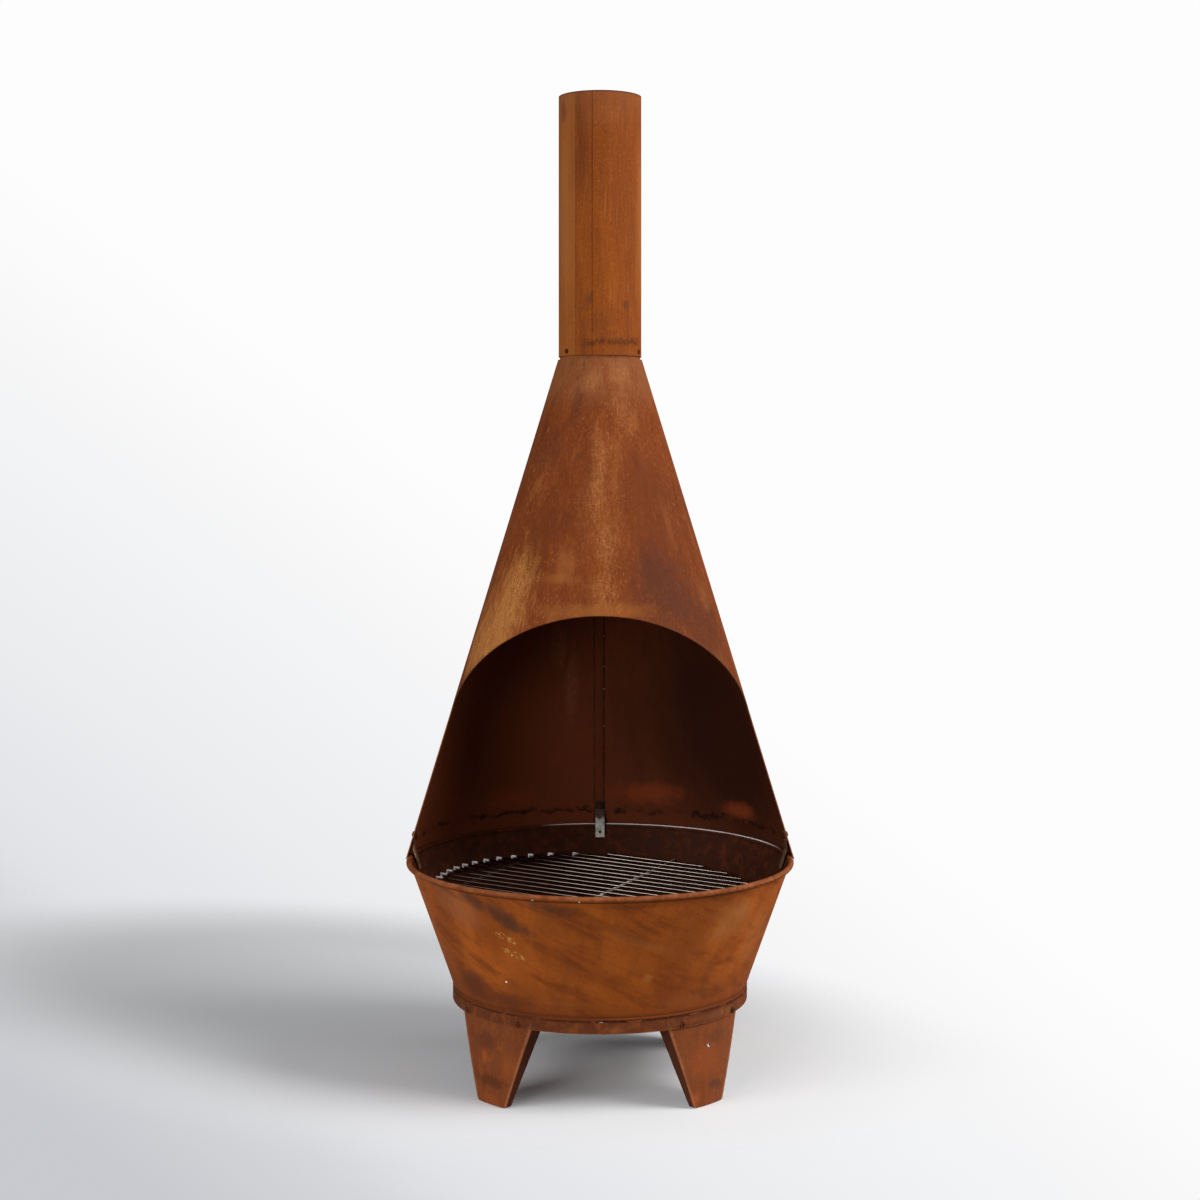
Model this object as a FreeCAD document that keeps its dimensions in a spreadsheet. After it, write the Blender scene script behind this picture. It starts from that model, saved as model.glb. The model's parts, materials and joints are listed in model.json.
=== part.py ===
import FreeCAD, Part
import math
import os
import Sketcher

# A steel chiminea: a tapered fire bowl on a ring with four sheet legs, a conical
# hood with an arched fire opening and a chimney tube, and a loose wire grate.
# Millimetres, +Z up, origin on the floor under the bowl's centre, front towards -Y.
# Headings are measured from the front, positive towards +X.

doc = FreeCAD.newDocument("Chiminea")

DIMENSIONS = [
    # rolled sheet bowl
    ("bowl_sheet", 2.5, "thickness of the bowl's sheet"),
    ("bowl_top_radius", 290.0, "outside of the wall under the lip"),
    ("bowl_top_height", 326.0, "height of that circle above the floor"),
    ("bowl_foot_radius", 223.7, "outside of the wall at the hem's centre"),
    ("lip_bead_radius", 4.1, "half the thickness of the rolled lip"),
    ("lip_centre_radius", 292.6, "circle that the lip is rolled on"),
    ("lip_centre_height", 328.4, "height of that circle"),
    ("hem_bead_radius", 3.5, "half the thickness of the rolled hem"),
    ("hem_centre_radius", 222.2, "circle that the hem is rolled on"),
    ("hem_centre_height", 142.0, "height of that circle"),
    ("floor_plate", 2.5, "thickness of the floor plate"),
    ("floor_gap", 0.4, "play between floor plate and wall"),
    ("floor_lift", 0.1, "play between floor plate and hem"),
    # ring and legs
    ("band_outer_radius", 225.5, "outside of the base ring"),
    ("band_sheet", 3.0, "thickness of the base ring"),
    ("band_bottom", 122.0, "height of its lower edge"),
    ("band_top", 138.0, "height of its upper edge"),
    ("weld_radius", 1.3, "radius of a tack weld's bead"),
    ("weld_circle", 226.2, "circle that the tack welds lie on"),
    ("weld_height", 139.3, "height of that circle"),
    ("leg_outer_radius", 222.3, "outside of a leg's curved plate"),
    ("leg_sheet", 3.0, "thickness of a leg"),
    ("leg_top", 136.5, "height of a leg's upper edge"),
    ("leg_half_width_top", 81.0, "half the width at the upper edge"),
    ("leg_half_width_foot", 31.0, "half the width at the floor"),
    ("leg_corner", 7.0, "rounding of the foot's corners"),
    ("leg_flange_top", 20.0, "depth of the turned-in edge at the top"),
    ("leg_flange_foot", 9.0, "depth of the turned-in edge at the floor"),
    ("leg_heading", 46.0, "heading of the front legs"),
    ("leg_bolt_spread", 14.2, "angle from a leg's middle to its bolts"),
    ("leg_bolt_height", 127.0, "height of the leg bolts"),
    ("leg_hole_drop", 39.5, "small hole's distance below the bolts"),
    ("leg_hole_radius", 2.0, "small hole in the right front leg"),
    # conical hood
    ("hood_sheet", 1.5, "thickness of the hood's sheet"),
    ("hood_bottom_radius", 299.0, "outside of the hood's lower edge"),
    ("hood_bottom", 328.5, "height of the lower edge"),
    ("hood_top_radius", 64.5, "outside of the hood's upper edge"),
    ("hood_top", 1096.0, "height of the upper edge"),
    ("mouth_knee_height", 561.0, "where the side edges turn forward"),
    ("mouth_knee_radius", 26.0, "rounding of that corner"),
    ("mouth_rise", 0.86, "rise of the slanted cut per unit of depth"),
    # chimney tube and its collar
    ("tube_radius", 63.5, "outside of the chimney tube"),
    ("tube_sheet", 1.5, "thickness of the tube and its collar"),
    ("tube_bottom", 1100.0, "height of the tube's lower edge"),
    ("tube_length", 400.0, "length of the tube"),
    ("collar_gap", 0.3, "play between collar and tube"),
    ("collar_bottom", 1086.0, "height of the collar's lower edge"),
    ("collar_top", 1118.0, "height of the collar's upper edge"),
    ("flue_screw_height", 1107.5, "height of the tube's screws"),
    ("flue_screw_heading", 67.5, "heading of the first screw"),
    # locating tongues
    ("tongue_width", 15.0, "width of a tongue"),
    ("tongue_sheet", 2.0, "thickness of a tongue"),
    ("tongue_top", 371.5, "height of the upper end"),
    ("tongue_flat_end", 357.0, "where the tongue leaves the hood"),
    ("tongue_bend", 341.0, "where it turns inward into the bowl"),
    ("tongue_foot", 311.5, "height of the lower end"),
    ("tongue_foot_radius", 279.6, "outer face at the lower end"),
    ("tongue_play", 0.2, "gap between tongue and hood"),
    ("tongue_side_heading", 93.5, "heading of the right tongue"),
    ("tongue_bolt_height", 364.2, "height of the tongue bolts"),
    ("tongue_hole_height", 320.0, "height of the empty hole"),
    ("tongue_hole_radius", 2.3, "radius of the empty hole"),
    # fasteners
    ("shank_radius", 2.5, "M5 thread, outside"),
    ("hole_radius", 2.7, "clearance hole for M5"),
    ("button_radius", 4.75, "button head at its base"),
    ("button_crown_radius", 3.2, "button head at its crown"),
    ("button_height", 2.75, "button head, height"),
    ("key_radius", 1.73, "hexagon recess, centre to corner"),
    ("key_depth", 1.5, "hexagon recess, depth"),
    ("nut_corner_radius", 4.6, "M5 nut, centre to corner"),
    ("nut_height", 4.0, "M5 nut, height"),
    ("screw_radius", 1.9, "flue screw's thread"),
    ("screw_hole_radius", 2.0, "hole for a flue screw"),
    ("screw_length", 7.0, "flue screw's shank"),
    ("screw_head_radius", 3.8, "flue screw's head"),
    ("screw_head_height", 2.2, "flue screw's head, height"),
    # wire grate
    ("wire_radius", 1.75, "half the thickness of a grate wire"),
    ("grate_radius", 250.0, "circle that the bars end on"),
    ("grate_pitch", 25.56, "spacing of the bars"),
    ("grate_middle_offset", 5.2, "middle bar's distance from the centre"),
    ("grate_bar_drop", 6.0, "length of a bar's turned-down end"),
    ("grate_height", 284.7, "height of the bars at the centre"),
    ("grate_shift", -6.0, "grate's centre, towards +X"),
    ("grate_turn", -24.2, "turn of the bars seen from above"),
    ("grate_lean_right", 2.06, "fall of the grate towards +X, in degrees"),
    ("grate_lean_front", 1.03, "fall of the grate towards the front, in degrees"),
    ("main_wire_offset", 20.0, "middle cross wire's distance from the centre"),
    ("main_wire_half", 268.0, "half its length"),
    ("side_wire_offset", -187.0, "second cross wire's distance from the centre"),
    ("side_wire_half", 190.5, "half its length"),
    ("cross_wire_shift", 2.4, "middle of the cross wires along their length"),
]

sheet = doc.addObject("Spreadsheet::Sheet", "Dimensions")
for row, (alias, value, note) in enumerate(DIMENSIONS, start=1):
    sheet.set(f"A{row}", alias)
    sheet.set(f"B{row}", str(value))
    sheet.setAlias(f"B{row}", alias)
    sheet.set(f"C{row}", note)
doc.recompute()

UP = FreeCAD.Vector(0, 0, 1)
BAR_COUNT = 19
WELD_COUNT = 16
DRILL_REACH = 12.0
SUBPARTS = []


def dim(alias):
    """A driving dimension as a number."""
    return float(getattr(sheet, alias))


def cell(formula):
    """An expression on the sheet's cells: each {alias} becomes its reference."""
    return formula.replace("{", "Dimensions.").replace("}", "")


def bind(item, **formulas):
    """Bind properties of an object to expressions on the sheet."""
    for prop, formula in formulas.items():
        item.setExpression(prop, cell(formula))
    return item


def add(kind, name, **formulas):
    return bind(doc.addObject(kind, name), **formulas)


def origin_plane(body, role):
    return next(f for f in body.Origin.OriginFeatures if f.Role == role)


def new_body(label):
    body = doc.addObject("PartDesign::Body", "Body_" + label)
    body.Label = label
    return body


def outline(body, name, role, corners=(), roundings=None, circles=()):
    """Sketch on an origin plane: a closed outline through corners (pairs of expressions)
    and circles (centre and radius as expressions). roundings maps a corner's number to
    its radius."""
    sketch = body.newObject("Sketcher::SketchObject", name)
    sketch.AttachmentSupport = (origin_plane(body, role), [""])
    sketch.MapMode = "FlatFace"

    def drive(kind, geometry, label, formula, start=None):
        """Constrain one size or coordinate and bind it to its expression."""
        first = (geometry, start) if start is None else (-1, 1, geometry, start)
        rough = Sketcher.Constraint(kind, *(p for p in first if p is not None), 1.0)
        sketch.renameConstraint(sketch.addConstraint(rough), label)
        sketch.setExpression("Constraints." + label, cell(formula))

    count = len(corners)
    for i in range(count):
        turn = [2 * math.pi * k / count for k in (i, i + 1)]
        ends = [FreeCAD.Vector(math.cos(a), math.sin(a), 0) for a in turn]
        sketch.addGeometry(Part.LineSegment(*ends))
    for i, (across, upward) in enumerate(corners):
        sketch.addConstraint(Sketcher.Constraint("Coincident", i, 2, (i + 1) % count, 1))
        drive("DistanceX", i, f"corner{i}x", across, start=1)
        drive("DistanceY", i, f"corner{i}y", upward, start=1)
    for i, (across, upward, radius) in enumerate(circles):
        circle = sketch.addGeometry(Part.Circle(FreeCAD.Vector(1, 1, 0), UP, 1.0))
        drive("DistanceX", circle, f"circle{i}x", across, start=3)
        drive("DistanceY", circle, f"circle{i}y", upward, start=3)
        drive("Radius", circle, f"circle{i}r", radius)
    doc.recompute()
    for i, radius in (roundings or {}).items():
        before, after = (i - 1) % count, i
        corner = sketch.Geometry[after].StartPoint
        hints = [corner + (far - corner) * 0.1 for far in
                 (sketch.Geometry[before].StartPoint, sketch.Geometry[after].EndPoint)]
        arc = sketch.GeometryCount
        sketch.fillet(before, after, *hints, 1.0, True, True)
        drive("Radius", arc, f"rounding{i}", radius)
    doc.recompute()
    return sketch


def feature(body, kind, name, sketch, **settings):
    item = body.newObject("PartDesign::" + kind, name)
    item.Profile = sketch
    for prop, value in settings.items():
        setattr(item, prop, value)
    return item


def revolve(body, name, sketch):
    """Turn a sketch on the XZ plane once round the vertical axis."""
    return feature(body, "Revolution", name, sketch, ReferenceAxis=(sketch, ["V_Axis"]), Angle=360)


def cylinder(name, radius, height, base=None, turn=None):
    """Cylinder with its own axis from base upwards, or along turn times +Z."""
    item = add("Part::Cylinder", name, Radius=radius, Height=height)
    item.Placement = FreeCAD.Placement(base or FreeCAD.Vector(), turn or FreeCAD.Rotation())
    return item


def cut(name, base, *tools):
    item = doc.addObject("Part::Cut", name)
    item.Base = base
    item.Tool = tools[0] if len(tools) == 1 else group(name + "_tools", tools)
    return item


def fuse(name, *shapes):
    item = doc.addObject("Part::MultiFuse", name)
    item.Shapes = list(shapes)
    return item


def common(name, base, tool):
    item = doc.addObject("Part::Common", name)
    item.Base = base
    item.Tool = tool
    return item


def group(name, members):
    """Separate solids kept together in one object."""
    item = doc.addObject("Part::Compound", name)
    item.Links = list(members)
    return item


def heading_turn(heading):
    """Turns +X to a heading measured from the front."""
    return FreeCAD.Rotation(UP, heading - 90)


def outward(heading, radius, height, rise=0.0):
    """Placement on a circle round the axis whose +Z points outward, rise degrees upward."""
    turn = heading_turn(heading)
    spot = turn.multVec(FreeCAD.Vector(radius, 0, height))
    return FreeCAD.Placement(spot, turn * FreeCAD.Rotation(FreeCAD.Vector(0, 1, 0), 90 - rise))


def drill(name, radius, place):
    """Cutting cylinder that runs through a sheet, both ways from place."""
    item = add("Part::Cylinder", name, Radius=radius)
    item.Height = 2 * DRILL_REACH
    item.Placement = place * FreeCAD.Placement(FreeCAD.Vector(0, 0, -DRILL_REACH), FreeCAD.Rotation())
    return item


def finish(item, label):
    """Name a sub-part and add it to the ones that are written out."""
    item.Label = label
    SUBPARTS.append(item)
    return item


# ---------------------------------------------------------------- bowl

WALL_SLOPE = "({bowl_top_radius} - {bowl_foot_radius}) / ({bowl_top_height} - {hem_centre_height})"


def make_bowl():
    body = new_body("bowl_shell")
    wall = outline(body, "WallSection", "XZ_Plane", corners=[
        ("{bowl_foot_radius} - {bowl_sheet}", "{hem_centre_height}"),
        ("{bowl_foot_radius}", "{hem_centre_height}"),
        ("{bowl_top_radius}", "{bowl_top_height}"),
        ("{bowl_top_radius} - {bowl_sheet}", "{bowl_top_height}"),
    ])
    revolve(body, "Wall", wall)
    for bead in ("lip", "hem"):
        section = outline(body, bead.title() + "Section", "XZ_Plane", circles=[
            (f"{{{bead}_centre_radius}}", f"{{{bead}_centre_height}}", f"{{{bead}_bead_radius}}"),
        ])
        revolve(body, bead.title(), section)
    return finish(body, "bowl_shell")


def make_floor():
    body = new_body("bowl_floor")
    rim = ("{bowl_foot_radius} - {bowl_sheet} - {floor_gap} + {hem_bead_radius} * " + WALL_SLOPE)
    disc = outline(body, "Disc", "XY_Plane", circles=[("0", "0", rim)])
    bind(feature(body, "Pad", "Plate", disc), Length="{floor_plate}")
    lift = dim("hem_centre_height") + dim("hem_bead_radius") + dim("floor_lift")
    body.Placement = FreeCAD.Placement(FreeCAD.Vector(0, 0, lift), FreeCAD.Rotation())
    return finish(body, "bowl_floor")


# ---------------------------------------------------------------- ring and legs

def leg_headings():
    front = dim("leg_heading")
    return {"front_left": -front, "front_right": front,
            "rear_left": front - 180, "rear_right": 180 - front}


def leg_bolt_headings():
    spread = dim("leg_bolt_spread")
    return [heading + side for heading in leg_headings().values() for side in (-spread, spread)]


def make_band():
    body = new_body("band")
    section = outline(body, "BandSection", "XZ_Plane", corners=[
        ("{band_outer_radius} - {band_sheet}", "{band_bottom}"),
        ("{band_outer_radius}", "{band_bottom}"),
        ("{band_outer_radius}", "{band_top}"),
        ("{band_outer_radius} - {band_sheet}", "{band_top}"),
    ])
    revolve(body, "Band", section)
    holes = [drill("BandHole", "{hole_radius}",
                   outward(heading, dim("band_outer_radius"), dim("leg_bolt_height")))
             for heading in leg_bolt_headings()]
    return finish(cut("DrilledBand", body, *holes), "base_ring_band")


def make_welds():
    """Small beads in the groove between hem and band, all round."""
    beads = []
    for i in range(WELD_COUNT):
        bead = add("Part::Sphere", "WeldBead", Radius="{weld_radius}")
        bead.Placement = outward(360.0 * (i + 0.5) / WELD_COUNT,
                                 dim("weld_circle"), dim("weld_height"))
        beads.append(bead)
    return finish(group("WeldBeads", beads), "ring_tack_welds")


def leg_prism(name, inset, rounding):
    """The leg's tapering front outline, pushed outward from the ring's axis."""
    body = new_body(name)
    half_foot = "{leg_half_width_foot} - " + inset
    half_top = "{leg_half_width_top} - " + inset
    face = outline(body, "LegFace", "YZ_Plane", corners=[
        (f"-({half_top})", "{leg_top}"),
        (f"-({half_foot})", "0"),
        (half_foot, "0"),
        (half_top, "{leg_top}"),
    ], roundings=rounding)
    bind(feature(body, "Pad", "Prism", face), Length="{leg_outer_radius} * 1.1")
    return body


def leg_flange_trim():
    """What is cut away behind the turned-in edges, which are deepest at the top."""
    body = new_body("leg_flange_trim")
    edge = "sqrt({leg_outer_radius} ^ 2 - {leg_half_width_%s} ^ 2) - {leg_flange_%s}"
    side = outline(body, "LegSide", "XZ_Plane", corners=[
        ("0", "0"),
        (edge % ("foot", "foot"), "0"),
        (edge % ("top", "top"), "{leg_top}"),
        ("0", "{leg_top}"),
    ])
    bind(feature(body, "Pad", "Trim", side, Midplane=True), Length="4 * {leg_half_width_top}")
    return body


def make_leg(where, heading, small_hole):
    blank = common("LegBlank", leg_prism("leg_outline", "0", {1: "{leg_corner}", 2: "{leg_corner}"}),
                   cylinder("LegOutside", "{leg_outer_radius}", "{leg_top}"))
    hollow = common("LegHollow", leg_prism("leg_inside", "{leg_sheet}", None),
                    cylinder("LegInside", "{leg_outer_radius} - {leg_sheet}", "{leg_top}"))
    forward = 90.0         # heading of the local +X axis, in which the leg is built
    radius, height = dim("leg_outer_radius"), dim("leg_bolt_height")
    holes = [drill("LegHole", "{hole_radius}", outward(forward + side, radius, height))
             for side in (-dim("leg_bolt_spread"), dim("leg_bolt_spread"))]
    if small_hole:
        spot = outward(forward, radius, height - dim("leg_hole_drop"))
        holes.append(drill("SmallLegHole", "{leg_hole_radius}", spot))
    leg = cut("Leg", blank, hollow)
    leg = cut("TrimmedLeg", leg, leg_flange_trim())
    leg = cut("DrilledLeg", leg, *holes)
    leg.Placement = FreeCAD.Placement(FreeCAD.Vector(), heading_turn(heading))
    return finish(leg, "leg_" + where)


# ---------------------------------------------------------------- fasteners

def button_bolt(place, length):
    """Button-head bolt: its head stands on place, its shank points the other way."""
    head = add("Part::Cone", "ButtonHead", Radius1="{button_radius}",
               Radius2="{button_crown_radius}", Height="{button_height}")
    shank = cylinder("Shank", "{shank_radius}", length)
    shank.setExpression("Placement.Base.z", cell(f"-({length})"))
    key = add("Part::Prism", "KeyRecess", Circumradius="{key_radius}", Height="{key_depth} * 2")
    key.Polygon = 6
    key.setExpression("Placement.Base.z", cell("{button_height} - {key_depth}"))
    bolt = cut("Bolt", fuse("BoltBlank", head, shank), key)
    bolt.Placement = place
    return bolt


def hexagon_nut(place):
    """Nut whose outer face lies on place and whose body points the other way."""
    block = add("Part::Prism", "NutBlock", Circumradius="{nut_corner_radius}", Height="{nut_height}")
    block.Polygon = 6
    nut = cut("Nut", block, cylinder("NutBore", "{hole_radius} - 0.1", "{nut_height}"))
    nut.Placement = place * FreeCAD.Placement(
        FreeCAD.Vector(0, 0, -dim("nut_height")), FreeCAD.Rotation())
    return nut


def make_leg_fasteners():
    height = dim("leg_bolt_height")
    inside = dim("leg_outer_radius") - dim("leg_sheet") - 0.1
    length = "{band_outer_radius} - {leg_outer_radius} + {leg_sheet} + {nut_height} + 1"
    bolts = [button_bolt(outward(heading, dim("band_outer_radius"), height), length)
             for heading in leg_bolt_headings()]
    nuts = [hexagon_nut(outward(heading, inside, height)) for heading in leg_bolt_headings()]
    finish(group("LegBolts", bolts), "leg_bolts")
    finish(group("LegNuts", nuts), "leg_nuts")


# ---------------------------------------------------------------- hood

HOOD_SLOPE = "(({hood_bottom_radius} - {hood_top_radius}) / ({hood_top} - {hood_bottom}))"


def hood_slope():
    return ((dim("hood_bottom_radius") - dim("hood_top_radius"))
            / (dim("hood_top") - dim("hood_bottom")))


def hood_place(heading, height):
    """Placement on the hood's outer face, square to it."""
    radius = dim("hood_bottom_radius") - hood_slope() * (height - dim("hood_bottom"))
    return outward(heading, radius, height, math.degrees(math.atan(hood_slope())))


def tongue_headings():
    side = dim("tongue_side_heading")
    return {"left": -side, "back": 180.0, "right": side}


def make_hood():
    body = new_body("hood")
    neck = "{tube_radius} - {tube_sheet} - {collar_gap} + 0.1"
    section = outline(body, "HoodSection", "XZ_Plane", corners=[
        ("{hood_bottom_radius} - {hood_sheet}", "{hood_bottom}"),
        ("{hood_bottom_radius}", "{hood_bottom}"),
        ("{hood_top_radius}", "{hood_top}"),
        (neck, "{hood_top}"),
        (neck, "{hood_top} - {hood_sheet}"),
        ("{hood_top_radius} + {hood_sheet} * (" + HOOD_SLOPE + " - 1)", "{hood_top} - {hood_sheet}"),
    ])
    revolve(body, "Cone", section)
    doc.recompute()
    whole = body.Shape.Volume
    reach = "1.2 * {hood_bottom_radius}"
    mouth = outline(body, "MouthSide", "YZ_Plane", corners=[
        ("0", "{hood_bottom} - {hood_sheet}"),
        ("0", "{mouth_knee_height}"),
        (f"-{reach}", "{mouth_knee_height} + {mouth_rise} * " + reach),
        (f"-{reach}", "{hood_bottom} - {hood_sheet}"),
    ], roundings={1: "{mouth_knee_radius}"})
    bind(feature(body, "Pocket", "Mouth", mouth, Midplane=True), Length="3 * {hood_bottom_radius}")
    doc.recompute()
    if body.Shape.Volume > 0.9 * whole:
        raise RuntimeError("the fire opening was not cut")
    holes = [drill("TongueBoltHole", "{hole_radius}", hood_place(heading, dim("tongue_bolt_height")))
             for heading in tongue_headings().values()]
    return finish(cut("DrilledHood", body, *holes), "hood_cone")


def flue_screw_headings():
    return [dim("flue_screw_heading") + 120 * i for i in range(3)]


def sleeve(label, outer, inner, length, base):
    """Upright tube with the three holes for the flue screws."""
    body = new_body(label + "_blank")
    rings = outline(body, "RingSection", "XY_Plane", circles=[("0", "0", outer), ("0", "0", inner)])
    bind(feature(body, "Pad", "Sleeve", rings), Length=length)
    body.Placement = FreeCAD.Placement(FreeCAD.Vector(0, 0, base), FreeCAD.Rotation())
    holes = [drill("ScrewHole", "{screw_hole_radius}",
                   outward(heading, dim("tube_radius"), dim("flue_screw_height")))
             for heading in flue_screw_headings()]
    return finish(cut("Drilled_" + label, body, *holes), label)


def make_flue():
    collar = "{tube_radius} - {tube_sheet} - {collar_gap}"
    sleeve("flue_collar", collar, collar + " - {tube_sheet}",
           "{collar_top} - {collar_bottom}", dim("collar_bottom"))
    sleeve("chimney_tube", "{tube_radius}", "{tube_radius} - {tube_sheet}",
           "{tube_length}", dim("tube_bottom"))
    screws = []
    for heading in flue_screw_headings():
        head = add("Part::Cone", "PanHead", Radius1="{screw_head_radius}",
                   Radius2="{screw_head_radius} * 0.7", Height="{screw_head_height}")
        shank = cylinder("ScrewShank", "{screw_radius}", "{screw_length}")
        shank.setExpression("Placement.Base.z", cell("-{screw_length}"))
        screw = fuse("FlueScrew", head, shank)
        screw.Placement = outward(heading, dim("tube_radius"), dim("flue_screw_height"))
        screws.append(screw)
    finish(group("FlueScrews", screws), "flue_screws")


def make_tongue(where, heading):
    """Strap that lies on the hood, hangs straight, then follows the bowl's wall inward."""
    body = new_body("tongue_" + where)
    on_hood = ("{hood_bottom_radius} - {hood_sheet} - {tongue_play} - "
               + HOOD_SLOPE + " * ({tongue_%s} - {hood_bottom})")
    face = [(on_hood % "top", "{tongue_top}"),
            (on_hood % "flat_end", "{tongue_flat_end}"),
            (on_hood % "flat_end", "{tongue_bend}"),
            ("{tongue_foot_radius}", "{tongue_foot}")]
    back = [(across + " - {tongue_sheet}", upward) for across, upward in reversed(face)]
    strip = outline(body, "TongueSide", "XZ_Plane", corners=face + back)
    bind(feature(body, "Pad", "Strip", strip, Midplane=True), Length="{tongue_width}")
    body.Placement = FreeCAD.Placement(FreeCAD.Vector(), heading_turn(heading))
    lean = math.degrees(math.atan(hood_slope()))
    holes = [
        drill("TongueBolt", "{hole_radius}", hood_place(heading, dim("tongue_bolt_height"))),
        drill("TongueHole", "{tongue_hole_radius}",
              outward(heading, dim("tongue_foot_radius"), dim("tongue_hole_height"), -lean)),
    ]
    return finish(cut("DrilledTongue", body, *holes), "hood_tongue_" + where)


def make_tongue_fasteners():
    places = [hood_place(heading, dim("tongue_bolt_height")) for heading in tongue_headings().values()]
    stack = dim("hood_sheet") + dim("tongue_play") + dim("tongue_sheet")
    inward = FreeCAD.Placement(FreeCAD.Vector(0, 0, -stack), FreeCAD.Rotation())
    length = "{hood_sheet} + {tongue_play} + {tongue_sheet} + {nut_height} + 1"
    finish(group("TongueBolts", [button_bolt(place, length) for place in places]), "tongue_bolts")
    finish(group("TongueNuts", [hexagon_nut(place * inward) for place in places]), "tongue_nuts")


# ---------------------------------------------------------------- grate

def grate_place():
    turns = [((0, 1, 0), "grate_lean_right"), ((1, 0, 0), "grate_lean_front"), ((0, 0, 1), "grate_turn")]
    turn = FreeCAD.Rotation()
    for axis, alias in turns:
        turn = turn * FreeCAD.Rotation(FreeCAD.Vector(*axis), dim(alias))
    return FreeCAD.Placement(FreeCAD.Vector(dim("grate_shift"), 0, dim("grate_height")), turn)


def grate_bar(number):
    """Straight wire along X with its two ends turned down."""
    offset = f"({{grate_middle_offset}} + {{grate_pitch}} * ({number - (BAR_COUNT - 1) // 2}))"
    half = f"sqrt({{grate_radius}} ^ 2 - {offset} ^ 2)"
    lying = FreeCAD.Rotation(FreeCAD.Vector(0, 1, 0), 90)
    pieces = [(cylinder("BarRun", "{wire_radius}", f"2 * {half}", turn=lying), "-", "0")]
    for side in ("-", ""):
        pieces.append((add("Part::Sphere", "BarBend", Radius="{wire_radius}"), side, "0"))
        pieces.append((cylinder("BarEnd", "{wire_radius}", "{grate_bar_drop}"), side,
                       "-{grate_bar_drop}"))
    for piece, side, drop in pieces:
        piece.setExpression("Placement.Base.x", cell(side + half))
        piece.setExpression("Placement.Base.y", cell(offset))
        piece.setExpression("Placement.Base.z", cell(drop))
    return fuse("GrateBar", *(piece for piece, side, drop in pieces))


def cross_wire(which):
    """Wire along Y under the bars, long enough to rest on the bowl's wall."""
    along = FreeCAD.Rotation(FreeCAD.Vector(1, 0, 0), -90)
    wire = cylinder("CrossWire", "{wire_radius}", f"2 * {{{which}_wire_half}}", turn=along)
    wire.setExpression("Placement.Base.x", cell(f"{{{which}_wire_offset}}"))
    wire.setExpression("Placement.Base.y", cell(f"{{cross_wire_shift}} - {{{which}_wire_half}}"))
    wire.setExpression("Placement.Base.z", cell("-2 * {wire_radius} - 0.05"))
    return wire


def make_grate():
    bars = group("GrateBars", [grate_bar(i) for i in range(BAR_COUNT)])
    wires = group("CrossWires", [cross_wire(which) for which in ("main", "side")])
    for item, label in ((bars, "grate_bars"), (wires, "grate_cross_wires")):
        item.Placement = grate_place()
        finish(item, label)


# ---------------------------------------------------------------- assembly

def write_subparts():
    doc.recompute()
    failed = [item.Name for item in doc.Objects
              if any(word in item.State for word in ("Invalid", "Error"))]
    failed += [item.Label for item in SUBPARTS if item.Shape.isNull() or not item.Shape.isValid()]
    if failed:
        raise RuntimeError("failed objects: " + ", ".join(failed))
    os.makedirs("parts", exist_ok=True)
    for item in SUBPARTS:
        item.Shape.exportStep(f"parts/{item.Label}.step")
        print(f"{item.Label}: {len(item.Shape.Solids)} solids, {item.Shape.Volume / 1000:.1f} cm3")


make_bowl()
make_floor()
make_band()
make_welds()
for where, heading in leg_headings().items():
    make_leg(where, heading, small_hole=(where == "front_right"))
make_leg_fasteners()
make_hood()
make_flue()
for where, heading in tongue_headings().items():
    make_tongue(where, heading)
make_tongue_fasteners()
make_grate()
write_subparts()
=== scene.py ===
"""Garden chiminea: rusted sheet steel bowl, hood and chimney tube with a steel wire grate."""

import json
import math
import random

import bpy
from mathutils import Matrix, Vector


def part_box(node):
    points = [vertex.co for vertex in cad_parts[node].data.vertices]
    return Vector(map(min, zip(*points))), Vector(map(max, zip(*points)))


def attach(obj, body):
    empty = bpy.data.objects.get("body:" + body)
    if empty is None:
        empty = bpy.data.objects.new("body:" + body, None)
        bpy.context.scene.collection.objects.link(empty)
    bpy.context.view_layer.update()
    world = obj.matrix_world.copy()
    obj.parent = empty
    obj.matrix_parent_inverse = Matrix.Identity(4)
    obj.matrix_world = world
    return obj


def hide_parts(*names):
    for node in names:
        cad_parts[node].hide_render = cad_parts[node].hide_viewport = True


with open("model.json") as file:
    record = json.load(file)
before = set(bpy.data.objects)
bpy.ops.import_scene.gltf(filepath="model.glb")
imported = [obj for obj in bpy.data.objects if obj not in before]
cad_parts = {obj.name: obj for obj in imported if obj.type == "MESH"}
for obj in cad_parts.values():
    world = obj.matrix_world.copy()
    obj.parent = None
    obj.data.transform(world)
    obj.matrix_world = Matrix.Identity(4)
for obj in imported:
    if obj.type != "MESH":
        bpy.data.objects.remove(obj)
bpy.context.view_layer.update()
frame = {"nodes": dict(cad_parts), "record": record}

bl_info = {
    "name": "Garden Chiminea",
    "version": (1, 0, 0),
    "blender": (4, 5, 0),
    "location": "View3D > Sidebar > Chiminea",
    "description": "Rust finishes, sheet seams and welds for a steel garden chiminea",
    "category": "Object",
}

MM = 0.001

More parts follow.
